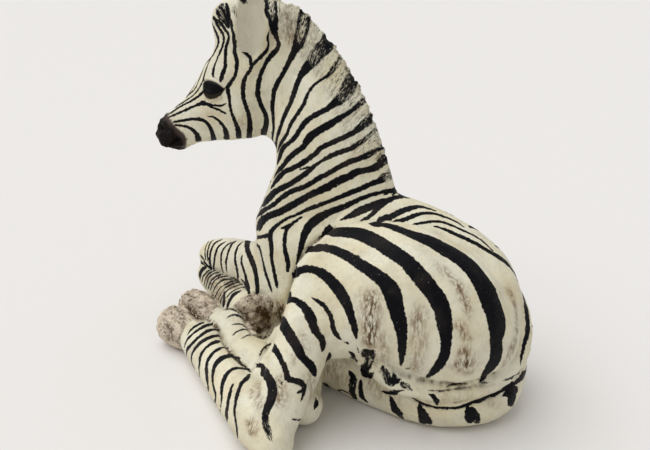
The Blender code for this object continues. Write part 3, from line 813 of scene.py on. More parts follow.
# The withers and the loins.
BACK = (
    ((436, 211, 1), (427, 208, 2), (419, 206.5, 3), (411, 208, 4.4), (402, 211, 5.4), (394, 215, 5.6),
     (386, 219, 5.8), (378, 222, 5), (370, 223.5, 3)),
    ((464, 227, 0.8), (455, 221, 1.4), (445, 217, 2), (436, 214, 2.4), (427, 213, 2.8), (419, 214, 3.2),
     (411, 217, 4.2), (403, 220, 3.8), (396, 221.5, 2.2), (390, 222, 0.8)),
    ((493, 251, 0.8), (483, 241.5, 1.2), (472, 234.5, 1.4), (461, 229.5, 1.6), (451, 225, 1.8),
     (442, 222, 2), (432, 221.5, 2.2), (422, 223, 2.2), (412, 224.5, 1)),
    ((433, 226, 0.6), (443, 228.5, 2), (452, 232.5, 2.8), (462, 237, 3.2), (472, 241.5, 3.2),
     (481, 246.5, 3.2), (489, 251.5, 3), (497, 256, 3.2), (505, 261.5, 4.2), (511, 268, 4.8),
     (516, 276, 4.8), (519.5, 285, 4), (523, 295, 3.6), (525.5, 305, 3.8), (527, 315, 3.6),
     (528, 325, 3.6), (527, 335, 3.8), (524.5, 343, 3.6), (522.5, 351, 2.8), (521, 358, 1.8),
     (520.5, 365, 0.8)),
)
# The haunch, from the rump's long bands down to the hock.
HAUNCH = (
    ((370, 223, 1), (376, 224.5, 5), (384, 224.5, 5), (394, 227, 6), (404, 231, 7), (414, 235, 8),
     (424, 238.5, 9.6), (434, 242.5, 11), (444, 248, 12), (454, 253.5, 12.5), (465, 261, 13),
     (474, 270, 14), (481, 280, 15.5), (487, 290, 18), (491, 300, 17.5), (494.5, 310, 17.5),
     (497.5, 320, 17), (498, 330, 16), (496.5, 340, 12), (497, 350, 11), (495, 360, 9.6), (489, 370, 7.4),
     (484.5, 376, 4.4), (479, 382, 1.2)),
    ((319, 238, 1), (325, 234, 4), (331, 231, 7.4), (339, 231, 8.8), (348, 231.5, 9.4), (357, 233, 10.4),
     (366, 236, 12), (375, 240.5, 13), (384, 246, 13.4), (391, 250.5, 14), (398, 255, 14),
     (406, 261, 14.5), (413, 268, 15.5), (420, 276, 16.5), (427, 284.5, 17), (433, 292.5, 17),
     (438.5, 301, 17), (442, 310, 16.4), (444, 320, 16), (445.5, 330, 14), (446, 340, 10.6),
     (445.5, 350, 9.6), (443, 359, 9.6), (438.5, 366, 8), (433.5, 371.5, 5.4), (427, 377.5, 1.6)),
    ((305, 253, 0.8), (310, 249.5, 4), (320, 247.5, 6.8), (330, 248.8, 7.4), (340, 252.3, 8.4),
     (350, 257.5, 9.8), (360, 264, 10.8), (370, 270.5, 11.6), (379, 277, 13), (386, 283.5, 15),
     (391, 291, 17), (394, 300, 17), (396.5, 310, 15), (399.3, 320, 14), (401.3, 330, 11.8),
     (402, 340, 9), (402, 350, 7.4), (401.5, 358, 4.6), (401, 366, 1.2)),
    ((293, 277.5, 1.6), (297, 272.5, 5.8), (303, 269.5, 6.8), (311, 269, 7), (319, 271.5, 8.2),
     (326, 276, 9.8), (332, 282, 10.2), (338, 289, 10.8), (343, 296.5, 10.4), (347, 305, 9.6),
     (350, 313, 8.2), (352.5, 321, 6.8), (354.5, 328, 6), (355.5, 334, 4), (356, 339, 1)),
    ((287.5, 300, 5), (293, 299.5, 5.2), (299, 302.5, 6.2), (304, 307, 7.8), (308, 312.5, 9.2),
     (311.5, 319, 9.8), (313.5, 326, 8.4), (315.5, 331, 7), (319.5, 336, 6), (322.5, 341, 5.6),
     (323, 347, 4.6), (322, 350.5, 2)),
    ((311, 297, 0.8), (316, 300, 2.4), (321, 303.5, 3.2), (326, 308, 3.6), (329.5, 314, 3.8),
     (332, 320.5, 4), (333, 327, 4.4), (335, 332.5, 4.2), (338, 336.5, 3.8), (341, 339.5, 1.4)),
    ((279, 319, 5), (283, 324, 7.2), (287, 331, 9.2), (291.5, 338, 10.2), (296, 345, 9.4),
     (299.5, 352, 8.8), (302, 357, 7.2), (306.5, 361, 7.8), (311, 366, 7.6), (314, 371, 6.2),
     (315.5, 375, 3)),
    ((271, 344, 3), (275, 349, 4.2), (279, 356, 4.6), (282, 362, 4.8), (285, 368, 5.2), (286.5, 374, 5.6),
     (288, 379, 6), (294, 380.5, 5), (300, 382.5, 5.8), (304, 386, 5), (304.5, 391, 3.8), (303, 396, 2.6),
     (301, 401, 1)),
    ((271, 344, 2), (266, 346, 1.2), (262, 350.5, 0.8), (259.5, 356, 0.6)),
    ((258, 365, 3), (262, 366, 3.8), (264, 371, 4.6), (267, 376, 6.4), (270, 381, 8.2), (272, 388, 8.8),
     (272, 395, 8.8), (270, 402, 8.2), (267, 409, 6.8), (265.5, 416, 6, 0.8), (265.5, 424, 6.4, 0.6),
     (268, 432, 6.2, 0.6), (270.5, 438, 5, 0.5), (273, 444, 2.4, 0.4)),
)
# Round the near hind cannon, from the hoof up.
CANNON = (
    ((204, 322, 1.2), (198, 325, 1.6), (192, 329.5, 1.6), (188, 334.5, 1)),
    ((212, 324, 1.8), (206, 325.5, 2.4), (199, 329.5, 2), (192, 334.5, 1.8), (187, 340, 1.6),
     (184.5, 347, 1.2)),
    ((219, 331, 1.6), (215, 329.5, 2), (209, 330.5, 2.4), (202, 334.5, 2.4), (196, 339.5, 2.4),
     (191, 345, 2.2), (187, 350, 2.4), (186.5, 356, 1)),
    ((219, 335.5, 1.6), (214, 336, 2.4), (208, 338, 3), (202, 341.5, 3.2), (197, 346, 3), (193.5, 351, 2),
     (191.5, 357, 1.8), (192, 363, 1.6), (195, 369, 0.8)),
    ((219, 341, 2.6), (213, 343, 2.8), (208, 346, 2.2), (203.5, 350.5, 2.2), (200.5, 356, 2),
     (199.5, 363, 1.8), (199, 370, 1.4), (199.5, 377, 0.8)),
    ((228, 348.5, 1), (222, 347.5, 1.6), (217, 350, 2.4), (212, 354, 2.6), (208.5, 359, 2.6),
     (206.5, 365, 2.4), (206.5, 372, 2.6), (207, 379, 3), (208, 386, 2.6), (208, 391, 1)),
    ((235, 358, 0.8), (232, 356, 2), (228, 356, 4), (223, 357.5, 4.2), (218, 361.5, 4.4), (215, 366, 3.2),
     (213, 372, 2.4), (212.5, 379, 1.8), (213.5, 387, 1.8), (215.5, 394, 2), (215.5, 400, 1.4),
     (214.5, 406, 0.8)),
    ((250, 370, 1.6), (245, 369, 2.2), (239, 368, 2.8), (233, 369, 2.8), (228, 372.5, 3),
     (224.5, 378, 3.6), (222, 385, 3), (221.5, 392, 2.2), (221.5, 399, 1.8), (221, 405, 1.2),
     (220, 412, 0.8)),
    ((233, 384, 1), (231, 389, 2), (229.5, 395, 2.4), (228, 401, 2.6), (227.5, 407, 3), (226.5, 412, 3.4),
     (226.5, 417, 5), (227, 422, 2)),
    ((250, 374, 1.4), (247, 378, 3), (242, 383, 2.6), (239, 389, 2.6), (237, 396, 2.8), (235.5, 403, 2.2),
     (234.5, 410, 2), (235, 417, 2), (236, 424, 2), (237, 431, 1.8), (237.5, 438, 1)),
)
FORELEG = (
    # round the forearm
    ((248, 240.5, 3.6), (247, 247, 4), (249, 254, 4.2), (252, 261, 4.6), (254.5, 268, 4.4),
     (256, 275, 4.2), (257, 282, 4), (257.5, 289, 3.8), (257.5, 294, 2)),
    ((255, 243.5, 1.2), (259, 247, 2), (261, 253, 1.8), (262.5, 260, 1.8), (264, 267, 2.2),
     (265.5, 273, 2.4), (268, 280, 2.4), (270, 286, 2), (272, 292, 1)),
    ((242, 256, 1), (241.5, 262, 1.8), (243, 268, 1.8), (245, 274, 2.2), (246.5, 281, 2.8), (248, 287, 3),
     (249, 294, 2)),
    ((243, 241.5, 0.8), (239, 245, 1.4), (236, 251, 1.8), (235, 258, 2), (236, 265, 2), (237.5, 272, 2),
     (238, 281, 1.6)),
    ((236, 241, 1), (232, 244, 1.6), (229, 250, 1.6), (227, 257, 1.6), (226, 264, 1.6), (227, 272, 1)),
    ((232, 242, 1), (226, 246, 1.4), (222, 252, 1.4), (221, 259, 1.4), (221.5, 266, 1.4),
     (223, 272, 0.8)),
    ((226, 241.5, 0.8), (219, 246, 1.6), (216, 252, 1.8), (214.5, 259, 1.6), (214, 265, 1.4),
     (213.5, 271, 0.8)),
    ((222, 239.5, 1), (215, 243, 1.8), (211.5, 249, 1.8), (210, 256, 1.8), (210, 263, 2),
     (211.5, 270, 1)),
    ((215, 238, 1), (211, 242, 1.4), (208.5, 248, 1.4), (207.5, 254, 1.4), (208, 261, 1)),
    ((209, 241, 0.8), (206, 246, 1), (205, 252, 1), (205.5, 259, 1)),
    # the knee and the fetlock
    ((200.5, 255, 1), (203, 259, 2), (206.5, 263.5, 2.4), (211, 268, 2)),
    ((199, 261.5, 2), (203, 263, 2), (206, 266.5, 1.6)),
    ((206.5, 267, 2), (202, 270, 3), (200, 275, 3.2), (200, 280, 2)),
    ((224, 292, 1.4), (224, 299, 2.2), (223.5, 306, 2)),
    ((240, 291, 2.4), (235, 293.5, 4), (231, 298, 3), (228.5, 303, 3), (227.5, 308, 1.6)),
)
TAIL = (
    # below the tail
    ((350, 372, 3), (353, 378, 6.4, 0.7), (352.5, 385, 6.4, 0.62), (352, 391, 5, 0.7), (354, 396, 3.4),
     (356, 400, 1.5)),
    ((361, 380, 2.6), (360.5, 386, 3.6), (361, 392, 3.8), (362, 397, 4), (367, 402, 2)),
    ((390.5, 397, 2.6), (393, 403, 4.6, 0.8), (396, 410, 6.4, 0.7), (400, 416, 7, 0.66),
     (404, 420, 3, 0.6)),
    ((419.5, 405, 3.4), (420.5, 411, 5), (422, 417, 6), (423, 423, 5, 0.8)),
    ((423, 409, 2.4, 0.7), (425.5, 415, 5, 0.72), (428.5, 421, 5, 0.76), (429.5, 424, 2, 0.7)),
    ((467.5, 407, 4, 0.8), (468.5, 411, 7.6, 0.85), (470, 417, 10, 0.8), (471, 422, 7, 0.75)),
    ((472, 408, 3, 0.7), (474, 412, 6, 0.68), (476, 418, 8, 0.64), (478, 423, 5, 0.6)),
    ((503, 396, 2, 0.8), (507, 393.5, 6, 0.85), (512, 392, 9), (517, 390, 5, 0.9)),
    ((509, 394, 5, 0.8), (512, 399, 8.4, 0.8), (513, 405, 3, 0.7)),
    ((429, 394, 2), (433, 396, 3.8), (436, 400, 4), (437.5, 404.5, 2)),
    # along the tail
    ((382, 391.5, 1.4, 0.8), (387, 393, 2.2, 0.8), (393, 392.5, 3, 0.85), (400, 391, 1.8, 0.8),
     (404, 390, 1, 0.6)),
    ((413, 398, 1, 0.9), (420, 402, 1.6), (428, 405, 2), (436, 407, 1.8), (446, 407.5, 1.8),
     (456, 407.5, 2.2), (465, 405, 2.2), (472, 402, 2.2), (480, 399, 3.2), (488, 395.5, 3.4),
     (496, 393, 3), (503, 390.5, 2.4), (510, 386.5, 2.2), (518, 381, 2.2), (524, 375, 2.2),
     (528, 368, 1.4)),
    ((503, 387.5, 3), (508, 386, 4.6), (514, 383.5, 3.6), (520, 379, 3.4), (524, 374, 3.4), (528, 367, 2),
     (531, 358, 1.2), (532, 350, 0.8)),
    # the tail's switch
    ((364, 350.5, 4, 0.64), (365, 355, 4, 0.62), (367, 359, 2.6, 0.6), (366.5, 363, 3.4, 0.66),
     (364, 367, 6, 0.7), (362, 369, 2, 0.66)),
    ((372, 350.5, 4, 0.64), (373, 355, 4, 0.62), (372.5, 360, 2.6, 0.6), (370.5, 365, 3, 0.66),
     (366, 369.5, 7, 0.7), (366, 373, 5, 0.66), (370, 374.5, 3.4, 0.62), (373.5, 373, 2, 0.56)),
    ((366, 350.5, 4, 0.72), (369, 353, 5, 0.66), (369, 357, 4, 0.55), (369, 361, 3, 0.45)),
    ((383, 367, 3.4, 0.66), (385, 372, 6, 0.6), (386.5, 378, 8, 0.58), (389, 384, 5, 0.58)),
    ((393.5, 374, 3, 0.66), (394, 378, 7, 0.62), (392, 382, 9, 0.58), (390, 384, 6, 0.56)),
    ((390, 377, 4, 0.64), (391, 381, 6, 0.58), (396, 381.5, 5, 0.7), (400, 379.5, 2, 0.7)),
    ((402, 383, 4, 0.66), (404, 386, 6, 0.58), (408, 387, 5, 0.52), (412, 391, 2, 0.5)),
    # behind the hock
    ((325, 384, 4), (328.5, 387.5, 7), (327, 392, 5), (325, 397, 2)),
    ((316, 399, 2), (316.5, 403, 4.4), (314.5, 409, 1)),
    ((329.5, 353, 1.6), (328, 359, 4.6), (326, 364, 1.6)),
    ((298, 393, 1.6), (300.5, 391.5, 2.6), (303, 390, 1)),
)
# The fine lines on the folded fore cannon.
FORE_CANNON = (
    ((207, 266, 1), (203, 270, 1.4), (200, 275, 1.6)),
    ((212, 269, 0.8), (207, 272, 1.2), (203, 277, 1.2), (202, 282, 0.8)),
    ((216, 270, 0.8), (210, 273, 1.2), (206, 278, 1.3), (204, 286, 0.9)),
    ((220, 272, 0.8), (213, 274, 1.2), (208, 279, 1.3), (206, 288, 1)),
    ((224, 274, 0.8), (217, 276, 1.2), (211, 281, 1.4), (208, 289, 1)),
    ((228, 276, 0.8), (219, 277.5, 1.3), (213, 283, 1.4), (210, 292, 1.1)),
    ((233, 279, 0.9), (223, 280, 1.5), (216, 286, 1.5), (212, 295, 1.1)),
    ((230, 277, 0.7), (237, 280, 1.2), (229, 282.5, 1.4), (220, 288, 1.4), (215, 297, 1.2)),
    ((240, 282, 0.8), (231, 284.5, 1.4), (223, 290, 1.5), (218, 300, 1.2)),
    ((243, 284, 0.8), (236, 286, 1.4), (228, 290, 1.6), (222, 297, 1.4), (220, 304, 1)),
    ((246, 287, 0.8), (240, 288, 1.2), (233, 291, 1.2), (227, 297, 1.2)),
    ((241, 279, 1), (245, 284, 1.6), (249, 292, 2)),
)
# The thinnest lines, for which the brush is nearly dry.
FINE = (
    # the far cannon, worn thin
    ((207, 321, 0.8, 0.5), (210, 315, 1, 0.56), (216, 311, 0.8, 0.5)),
    ((224, 310, 0.8, 0.56), (230, 309, 1.2, 0.62), (236, 311, 1.2, 0.62), (240, 315, 0.8, 0.56)),
    ((226, 319, 0.8, 0.52), (231, 315.5, 1.4, 0.62), (237, 315, 1.6, 0.66), (242, 318, 1.2, 0.62),
     (245, 322, 0.8, 0.56)),
    ((231, 325, 0.8, 0.52), (237, 324, 1.3, 0.62), (243, 325, 1.3, 0.62), (247, 329, 0.8, 0.54)),
    ((233, 335, 1, 0.58), (237, 331.5, 1.4, 0.64), (243, 329.5, 1.5, 0.64), (249, 330, 1.1, 0.56)),
    ((241, 339, 0.8, 0.56), (246, 336, 1.2, 0.62), (251, 335, 1.2, 0.6), (256, 337, 0.8, 0.54)),
    ((250, 334, 0.8, 0.52), (256, 337, 1, 0.56), (262, 339.5, 0.8, 0.5)),
    # the seam between the cannons, and where the gaskin meets them
    ((230, 354, 1.2, 0.8), (237, 360, 1.4, 0.7), (244, 366, 1.2, 0.8), (250, 372, 1, 0.8)),
    ((234, 357, 1, 0.7), (238, 358, 2, 0.8), (240, 361, 1, 0.6)),
    ((259.5, 356, 0.6, 0.6), (263, 350, 0.8, 0.7), (267, 346, 1, 0.8), (271, 344, 1.4)),
    # the tail's upper edge and the dashes on it
    ((428, 390, 0.8, 0.6), (440, 391, 1, 0.6), (455, 389, 0.9, 0.6), (470, 387, 0.8, 0.5)),
    ((446, 387, 1.5, 0.5), (452, 384.5, 2.2, 0.6), (460, 383.5, 2, 0.55), (468, 384, 1.4, 0.5)),
    ((478, 384, 1.4, 0.5), (484, 382.5, 1.6, 0.6), (490, 383, 1.2, 0.5)),
    ((500, 381, 1, 0.5), (508, 379, 1.4, 0.6), (516, 375, 1.4, 0.7), (523, 369, 1.2, 0.7)),
    ((406, 369, 1, 0.6), (410, 368, 1.2, 0.6)),
    ((331, 395, 0.8, 0.6), (340, 390, 1.2, 0.8), (348, 393, 1, 0.7), (353, 397, 0.8, 0.6)),
    ((292, 419, 0.6, 0.7), (298, 420, 1, 0.8), (303, 419.5, 0.6, 0.6)),
    # beside the haunch and on the rump
    ((345, 342, 1.6, 0.6), (347.5, 343.5, 2.4, 0.75)),
    ((350, 352, 2.4, 0.7), (352.5, 354.5, 3, 0.75), (354, 358, 2, 0.6), (356.5, 361.5, 2.4, 0.6)),
    ((351.5, 357.5, 2.4, 0.6), (353, 359, 2, 0.6)),
    ((357, 346, 1.6, 0.5), (357.5, 349, 1.6, 0.5), (359, 352, 2.4, 0.6)),
    ((531, 345, 1, 0.5), (533, 352, 1.2, 0.6), (531, 362, 1.2, 0.6), (527, 370, 1, 0.6)),
    ((520, 376, 2, 0.9), (524, 374, 3, 0.9), (527, 370, 1.6, 0.8)),
)
for group, load in (
    (BACK, 1), (HAUNCH, 1), (CANNON, 1), (FORELEG, 1), (TAIL, 1), (FINE, 1), (FORE_CANNON, 0.66)
):
    for places in group:
        stroke(places, load=load)

# The sides that the picture doesn't show, as places in pictures from three other stands.
RIGHT_STAND = stand(math.radians(190), math.radians(15))
REAR_STAND = stand(math.radians(100), math.radians(20))
FRONT_STAND = stand(math.radians(275), math.radians(15))
ON_RIGHT = (
    # the flank
    ((282, 205, 2), (287, 225, 4), (288, 245, 5), (284, 265, 4.6), (283, 285, 3.6), (286, 300, 1.6)),
    ((262, 192, 1.6), (266, 210, 4.4), (268, 232, 6), (265, 256, 6.4), (262, 280, 5), (264, 300, 3),
     (268, 314, 1.4)),
    ((243, 186, 2), (246, 206, 5), (248, 230, 7), (245, 256, 7.4), (241, 282, 6), (243, 304, 3.6),
     (247, 320, 1.4)),
    ((256, 268, 1), (253, 284, 2.6), (255, 302, 2.6), (258, 318, 1.2)),
    ((226, 180, 2), (228, 200, 5), (229, 226, 7.4), (226, 254, 8), (222, 282, 7), (223, 306, 4),
     (228, 322, 1.6)),
    ((302, 214, 1), (305, 232, 2.6), (303, 252, 3), (300, 270, 1.6)),
    # the loins and the haunch
    ((209, 184, 2), (208, 204, 5.4), (204, 230, 7.4), (197, 256, 7.4), (191, 280, 6), (192, 302, 3.6),
     (199, 316, 1.6)),
    ((191, 188, 2), (186, 210, 6), (178, 236, 8.4), (167, 262, 8.4), (161, 290, 7), (163, 312, 4.4),
     (170, 326, 1.6)),
    ((173, 194, 2), (164, 214, 6), (153, 240, 8), (144, 268, 8), (140, 296, 6), (145, 316, 2.4)),
    ((180, 292, 1.2), (180, 306, 3), (186, 320, 2.4), (191, 328, 1.2)),
    # the forearm and the cannon
    ((372, 284, 2.4), (370, 296, 3), (372, 308, 2.6), (370, 318, 1.4)),
    ((384, 284, 2), (383, 296, 2.6), (385, 308, 2.4), (384, 319, 1.2)),
    ((395, 286, 1.8), (395, 297, 2.4), (397, 308, 2.2), (397, 319, 1.2)),
    ((405, 288, 1.6), (406, 298, 2), (408, 308, 2), (408, 319, 1)),
    ((414, 290, 1.6), (416, 300, 2), (418, 309, 1.8), (418, 319, 1)),
    ((422, 293, 1.4), (425, 301, 1.8), (427, 310, 1.6), (427, 319, 1)),
    ((429, 297, 1.4), (433, 304, 1.6), (435, 312, 1.4)),
    *(
        ((x, 323, 1), (x + 2.5, 331, 1.8), (x + 0.5, 341, 1.2))
        for x in (351, 358, 367, 374, 383, 392, 400, 409, 417, 426)
    ),
)
IN_FRONT = (
    # down the forehead and the nose
    ((371, 22, 1), (370, 35, 1.4), (368, 50, 1.6), (369, 62, 1.2), (372, 72, 0.8)),
    ((371, 70, 0.8), (370, 84, 1.2), (374, 100, 1.2), (382, 114, 1.2), (391, 127, 0.8)),
    ((376, 60, 0.8), (374, 80, 1.4), (377, 95, 1.4), (385, 111, 1.2), (393, 124, 0.8)),
    ((382, 50, 0.8), (381, 70, 1.4), (384, 88, 1.4), (390, 104, 1.2), (396, 118, 0.8)),
    # across the chest
    ((322, 160, 1.6), (332, 168, 2.4), (344, 172, 2), (358, 170, 2), (370, 165, 1.2)),
    ((321, 178, 2), (332, 187, 3), (343, 190, 1.6)),
    ((349, 191, 1.4), (358, 188, 2.6), (371, 182, 1.6)),
    ((321, 200, 2.4), (332, 208, 3.2), (345, 212, 2.2), (358, 209, 2.8), (368, 204, 1.6)),
    ((322, 220, 2.4), (334, 228, 3.4), (344, 231, 1.6)),
    ((350, 230, 1.4), (358, 227, 2.8), (366, 222, 1.8)),
    ((315, 241, 2.4), (327, 248, 3.6), (342, 252, 2.4), (356, 249, 2.8), (368, 243, 1.6)),
    ((305, 256, 2), (318, 265, 3.2), (334, 269, 2.4), (348, 267, 1.4)),
    # the left foreleg
    ((338, 300, 1.2), (345, 304, 1.8), (353, 309, 1.2)),
    ((337, 315, 1.2), (343, 318, 1.8), (349, 322, 1.2)),
    ((336, 330, 1.2), (345, 336, 1.8), (356, 340, 1.4), (366, 346, 0.8)),
    ((336, 345, 1.2), (346, 352, 1.8), (357, 357, 1.4), (365, 362, 0.8)),
    ((338, 360, 1.2), (347, 367, 1.8), (358, 372, 1.4), (368, 376, 0.8)),
    ((341, 373, 1), (350, 379, 1.6), (361, 384, 1)),
    # the right foreleg
    *(((287, y + 4, 1.2), (298, y + 5, 2), (310, y + 1, 1.4)) for y in (291, 302, 313, 323, 334, 344)),
    # the inside of the near thigh
    ((434, 198, 4), (426, 212, 4), (420, 226, 3), (417, 238, 1.2)),
    ((445, 214, 4.4), (437, 228, 4.4), (431, 240, 3), (429, 248, 1.2)),
    ((457, 229, 5), (449, 240, 4), (444, 250, 2)),
    ((468, 242, 4), (462, 252, 3.4), (458, 260, 1.6)),
    ((480, 255, 4), (474, 264, 3), (468, 272, 1.4)),
)
# Down the rump and round the haunch's right edge.
AT_REAR = (
    ((323, 364, 1.6), (322, 378, 4.6), (317, 393, 5.6), (306, 412, 5), (291, 424, 1.6)),
    ((300, 378, 1.6), (297, 386, 4.2), (291, 396, 4.6), (280, 408, 3), (270, 415, 1.2)),
    ((341, 348, 1.6), (346, 366, 5), (344, 390, 6.4), (333, 418, 5), (319, 437, 2)),
    ((331, 216, 1.6), (342, 224, 3), (350, 236, 2)),
    ((325, 232, 1.2), (336, 242, 3.4), (346, 256, 3)),
    ((324, 254, 1.2), (335, 264, 4), (346, 280, 4)),
    ((327, 282, 1.2), (338, 292, 4), (350, 310, 4.4)),
)
for group, place in ((ON_RIGHT, RIGHT_STAND), (IN_FRONT, FRONT_STAND), (AT_REAR, REAR_STAND)):
    for places in group:
        stroke(places, seen_from=place)

strokes += mirrored(strokes[:on_head_and_neck])

FACE_SPAN = 4  # the steps on each side over which the way a stroke faces is evened
BRISTLE_SHIFT = 0.05  # each stroke has its own bristles
FACES_ALIKE = 0.1

edges = read(casting.edges, "vertices", 2)
layers = [np.tile((0.0, -SPARE * 1000, 0.0, 0.0), (count, 1)) for _ in range(LAYERS)]
claimed = [np.zeros(count, bool) for _ in range(LAYERS)]
for number, (path, halves, loads) in enumerate(strokes):
    at, path, (halves, loads) = evenly(path, halves, loads)
    ways = unit(np.gradient(path, axis=0))
    faces = np.pad([on_surface(p)[1] for p in path], ((FACE_SPAN, FACE_SPAN), (0, 0)), "edge")
    window = np.ones(2 * FACE_SPAN + 1) / (2 * FACE_SPAN + 1)
    faces = np.stack([np.convolve(row, window, "valid") for row in faces.T], axis=1)
    sides = unit(np.cross(ways, faces))
    near, far, index = nearest_on(path, halves.max() + SPARE * 1.5)
    from_path = surface_points[near] - path[index]
    ahead = (from_path * ways[index]).sum(axis=1)
    beyond = np.where((index > 0) & (index < len(path) - 1), 0, np.abs(ahead))
    offset = np.sqrt(np.maximum(far**2 - ahead**2, 0))
    offset *= np.where((from_path * sides[index]).sum(axis=1) < 0, -1, 1)
    kept = (np.abs(offset) < halves[index] + SPARE) & (far < halves[index] + SPARE * 1.5)
    kept &= (beyond < SPARE) & ((normals[near] * faces[index]).sum(axis=1) > FACES_ALIKE)
    near, offset, beyond, index = near[kept], offset[kept], beyond[kept], index[kept]
    layer, taken = next(pair for pair in zip(layers, claimed) if not pair[1][near].any())
    here = np.zeros(count, bool)
    here[near] = True
    taken[edges[here[edges].any(axis=1)].ravel()] = True
    along = at[index] + number * BRISTLE_SHIFT
    sizes = np.stack((offset, halves[index] - beyond, along), axis=1) * 1000
    layer[near] = np.column_stack((sizes, loads[index]))


def store(name, values):
    """Keeps four numbers for each point of the clay, which the finish reads by this name."""
    layer = casting.attributes.new(name, "FLOAT_COLOR", "POINT")
    layer.data.foreach_set("color", values.astype(np.float32).ravel())


for number, layer in enumerate(layers):
    store(f"stroke_{number}", layer)

# The other colours. The muzzle and hooves are brown washes over black, the eyes are glazed black,
# and umber is laid into the creases and here and there on the cream: partly a thin umber stain,
# and partly painted shade in the creases, the hollows and under the legs.
MUZZLE = (
    (166, 104), (167.5, 110), (168.5, 116), (172, 122), (177, 127.5), (182.5, 132), (185.5, 136),
    (186.5, 141.5), (186, 148), (184, 158), (165, 160), (144, 150), (146, 125), (154, 108),
)
LOWER_LID = (
    (203, 88), (206, 90.5), (210, 92), (216, 91.5), (221, 89.5), (224, 89.5), (221.5, 94.5), (216, 97.7),
    (211, 99), (206.5, 97), (203.8, 94),
)
# Where a hoof's colour starts, which way it goes on, the hoof's middle, its reach and its top.
HOOVES = (
    ((-19, -37, 6), (-1, -0.1, 0), (-27, -39, 5.5), 10, 14),
    ((-21, -26, 10.6), (0.24, 0.22, -0.95), (-31, -28.5, 4), 8.2, 14),
    ((-25.5, -28, 6), (-1, 0, 0), (-31.5, -29, 5), 8.4, 14),
    ((-8, 13, 5.8), (0.98, 0.18, 0), (0.5, 14.6, 5.6), 8.8, 10.6),
)
FAR_HIND_HOOF = (
    (181, 300), (184, 293), (190, 287), (198, 286), (206, 290.5), (211.5, 296.5), (217, 304.5),
    (213, 311), (207, 316), (203, 321), (196, 322), (188, 314),
)
MUZZLE_MIDDLE = head(28, -39.5)
MUZZLE_REACH = 6.3
# A stained stroke's places, its width in millimetres and its strength. Most rows are umber stains
# and smears; the rows marked below are painted shade and painted shadow, laid in the same way.
STAINS_AND_SHADE = (
    (((371, 285), (371.5, 305), (371, 325), (371, 352)), 6.5, 1.1),
    # the fore cannon, darker brown along its length
    (((202, 272), (212, 284), (222, 296), (228, 305)), 6.0, 0.8),
    (((214, 272), (226, 281), (240, 291)), 5.0, 0.8),
    # painted shadow on the far hind cannon
    (((226, 312), (238, 322), (250, 336), (258, 344)), 5.0, 0.3),
    (((240, 386), (236, 404), (240, 424)), 5.0, 0.3),
    (((418, 296), (418.5, 320), (418, 345), (414, 378)), 5.5, 0.65),
    (((430, 262), (445, 272), (455, 282), (462, 295), (468, 310), (470, 325)), 3.0, 0.75),
    (((505, 280), (513, 300), (517, 320), (515, 340), (508, 358), (500, 372)), 3.6, 0.85),
    (((456, 318), (464, 334), (472, 342)), 4.0, 0.9),
    (((458, 346), (466, 357), (466, 372)), 5.0, 1.0),
    (((452, 360), (462, 370), (474, 373)), 4.0, 0.7),
    (((446, 384), (458, 384.5), (472, 383)), 1.6, 0.8),
    (((378, 330), (384, 345), (383, 366)), 5.0, 0.6),
    (((421, 322), (424, 338), (424, 352)), 3.5, 0.6),
    # darker and browner under the tail
    (((362, 372), (380, 392), (402, 402)), 6.0, 0.55),
    (((436, 398), (456, 400), (478, 396)), 5.0, 0.35),
    (((302, 372), (312, 384), (312, 402)), 5.0, 0.65),
    (((262, 378), (258, 396), (262, 420)), 4.0, 0.75),
    (((294, 330), (304, 345), (310, 356)), 5.0, 0.4),
    (((249, 388), (253, 394), (250, 400)), 2.4, 0.8),
    (((248, 418), (252, 426), (250, 437)), 3.6, 0.9),
    (((256, 420), (257, 430), (254, 440)), 2.0, 0.6),
    (((278, 372), (281, 384), (279, 398), (282, 410)), 3.4, 0.85),
    (((284, 386), (287, 398), (284, 412)), 2.4, 0.5),
    (((303, 333), (304, 341), (302, 350)), 2.6, 0.6),
    (((292, 352), (294, 360), (291, 368)), 2.0, 0.6),
    (((283, 2), (289, 18), (291, 34), (287, 50)), 7.0, 0.5),
    (((258, 0), (260, 12), (261, 24)), 2.0, 0.7),
    (((246, 14), (250, 34), (252, 52)), 7.0, 0.35),
    # painted shadow in the recesses round the fore hoof and between the hind hooves, in the next four
    # rows
    (((268, 296), (272, 306), (276, 318)), 2.6, 1.5),
    (((279, 300), (281, 312), (278, 322)), 4.4, 1.4),
    (((250, 333), (259, 338), (268, 336), (274, 329)), 2.0, 1.5),
    (((186, 306), (194, 313), (203, 320)), 3.6, 1.5),
    (((164, 322), (171, 330), (173, 342)), 2.4, 0.9),
    (((176, 308), (182, 316), (184, 330)), 2.6, 0.9),
    # painted shade along the seam between the hind cannons, in the next two rows
    (((225, 348), (236, 359), (249, 371)), 1.6, 1.3),
    (((206, 318), (214, 324), (221, 333)), 1.6, 1.2),
    (((210, 292), (216, 300), (221, 306)), 1.6, 1.2),
    # painted shadow on the far hind cannon
    (((220, 331), (226, 345), (238, 358)), 3.0, 0.5),
    # painted shade in the hollow under the belly, behind the near gaskin, in the next two rows
    (((322, 376), (332, 366), (342, 362), (350, 370)), 7.0, 0.6),
    (((330, 380), (342, 378), (352, 384)), 7.0, 0.5),
    (((306, 398), (318, 396), (332, 390)), 4.0, 0.4),
    (((486, 404), (494, 404), (500, 408)), 3.0, 0.5),
    (((531, 330), (534, 348), (530, 362)), 2.6, 0.6),
    (((520, 300), (526, 325), (525, 350)), 3.0, 0.3),
)
HEAD_STAINS = (
    (((203.5, 92.5), (206.5, 96), (211, 98), (217, 96), (222.5, 92)), 1.5, 1.6),
    (((223, 89), (226, 88.6)), 0.9, 1.5),
    (((236, 120), (246, 128), (262, 134)), 5.0, 0.35),
    (((241, 96), (248, 104), (256, 112)), 3.0, 0.25),
)

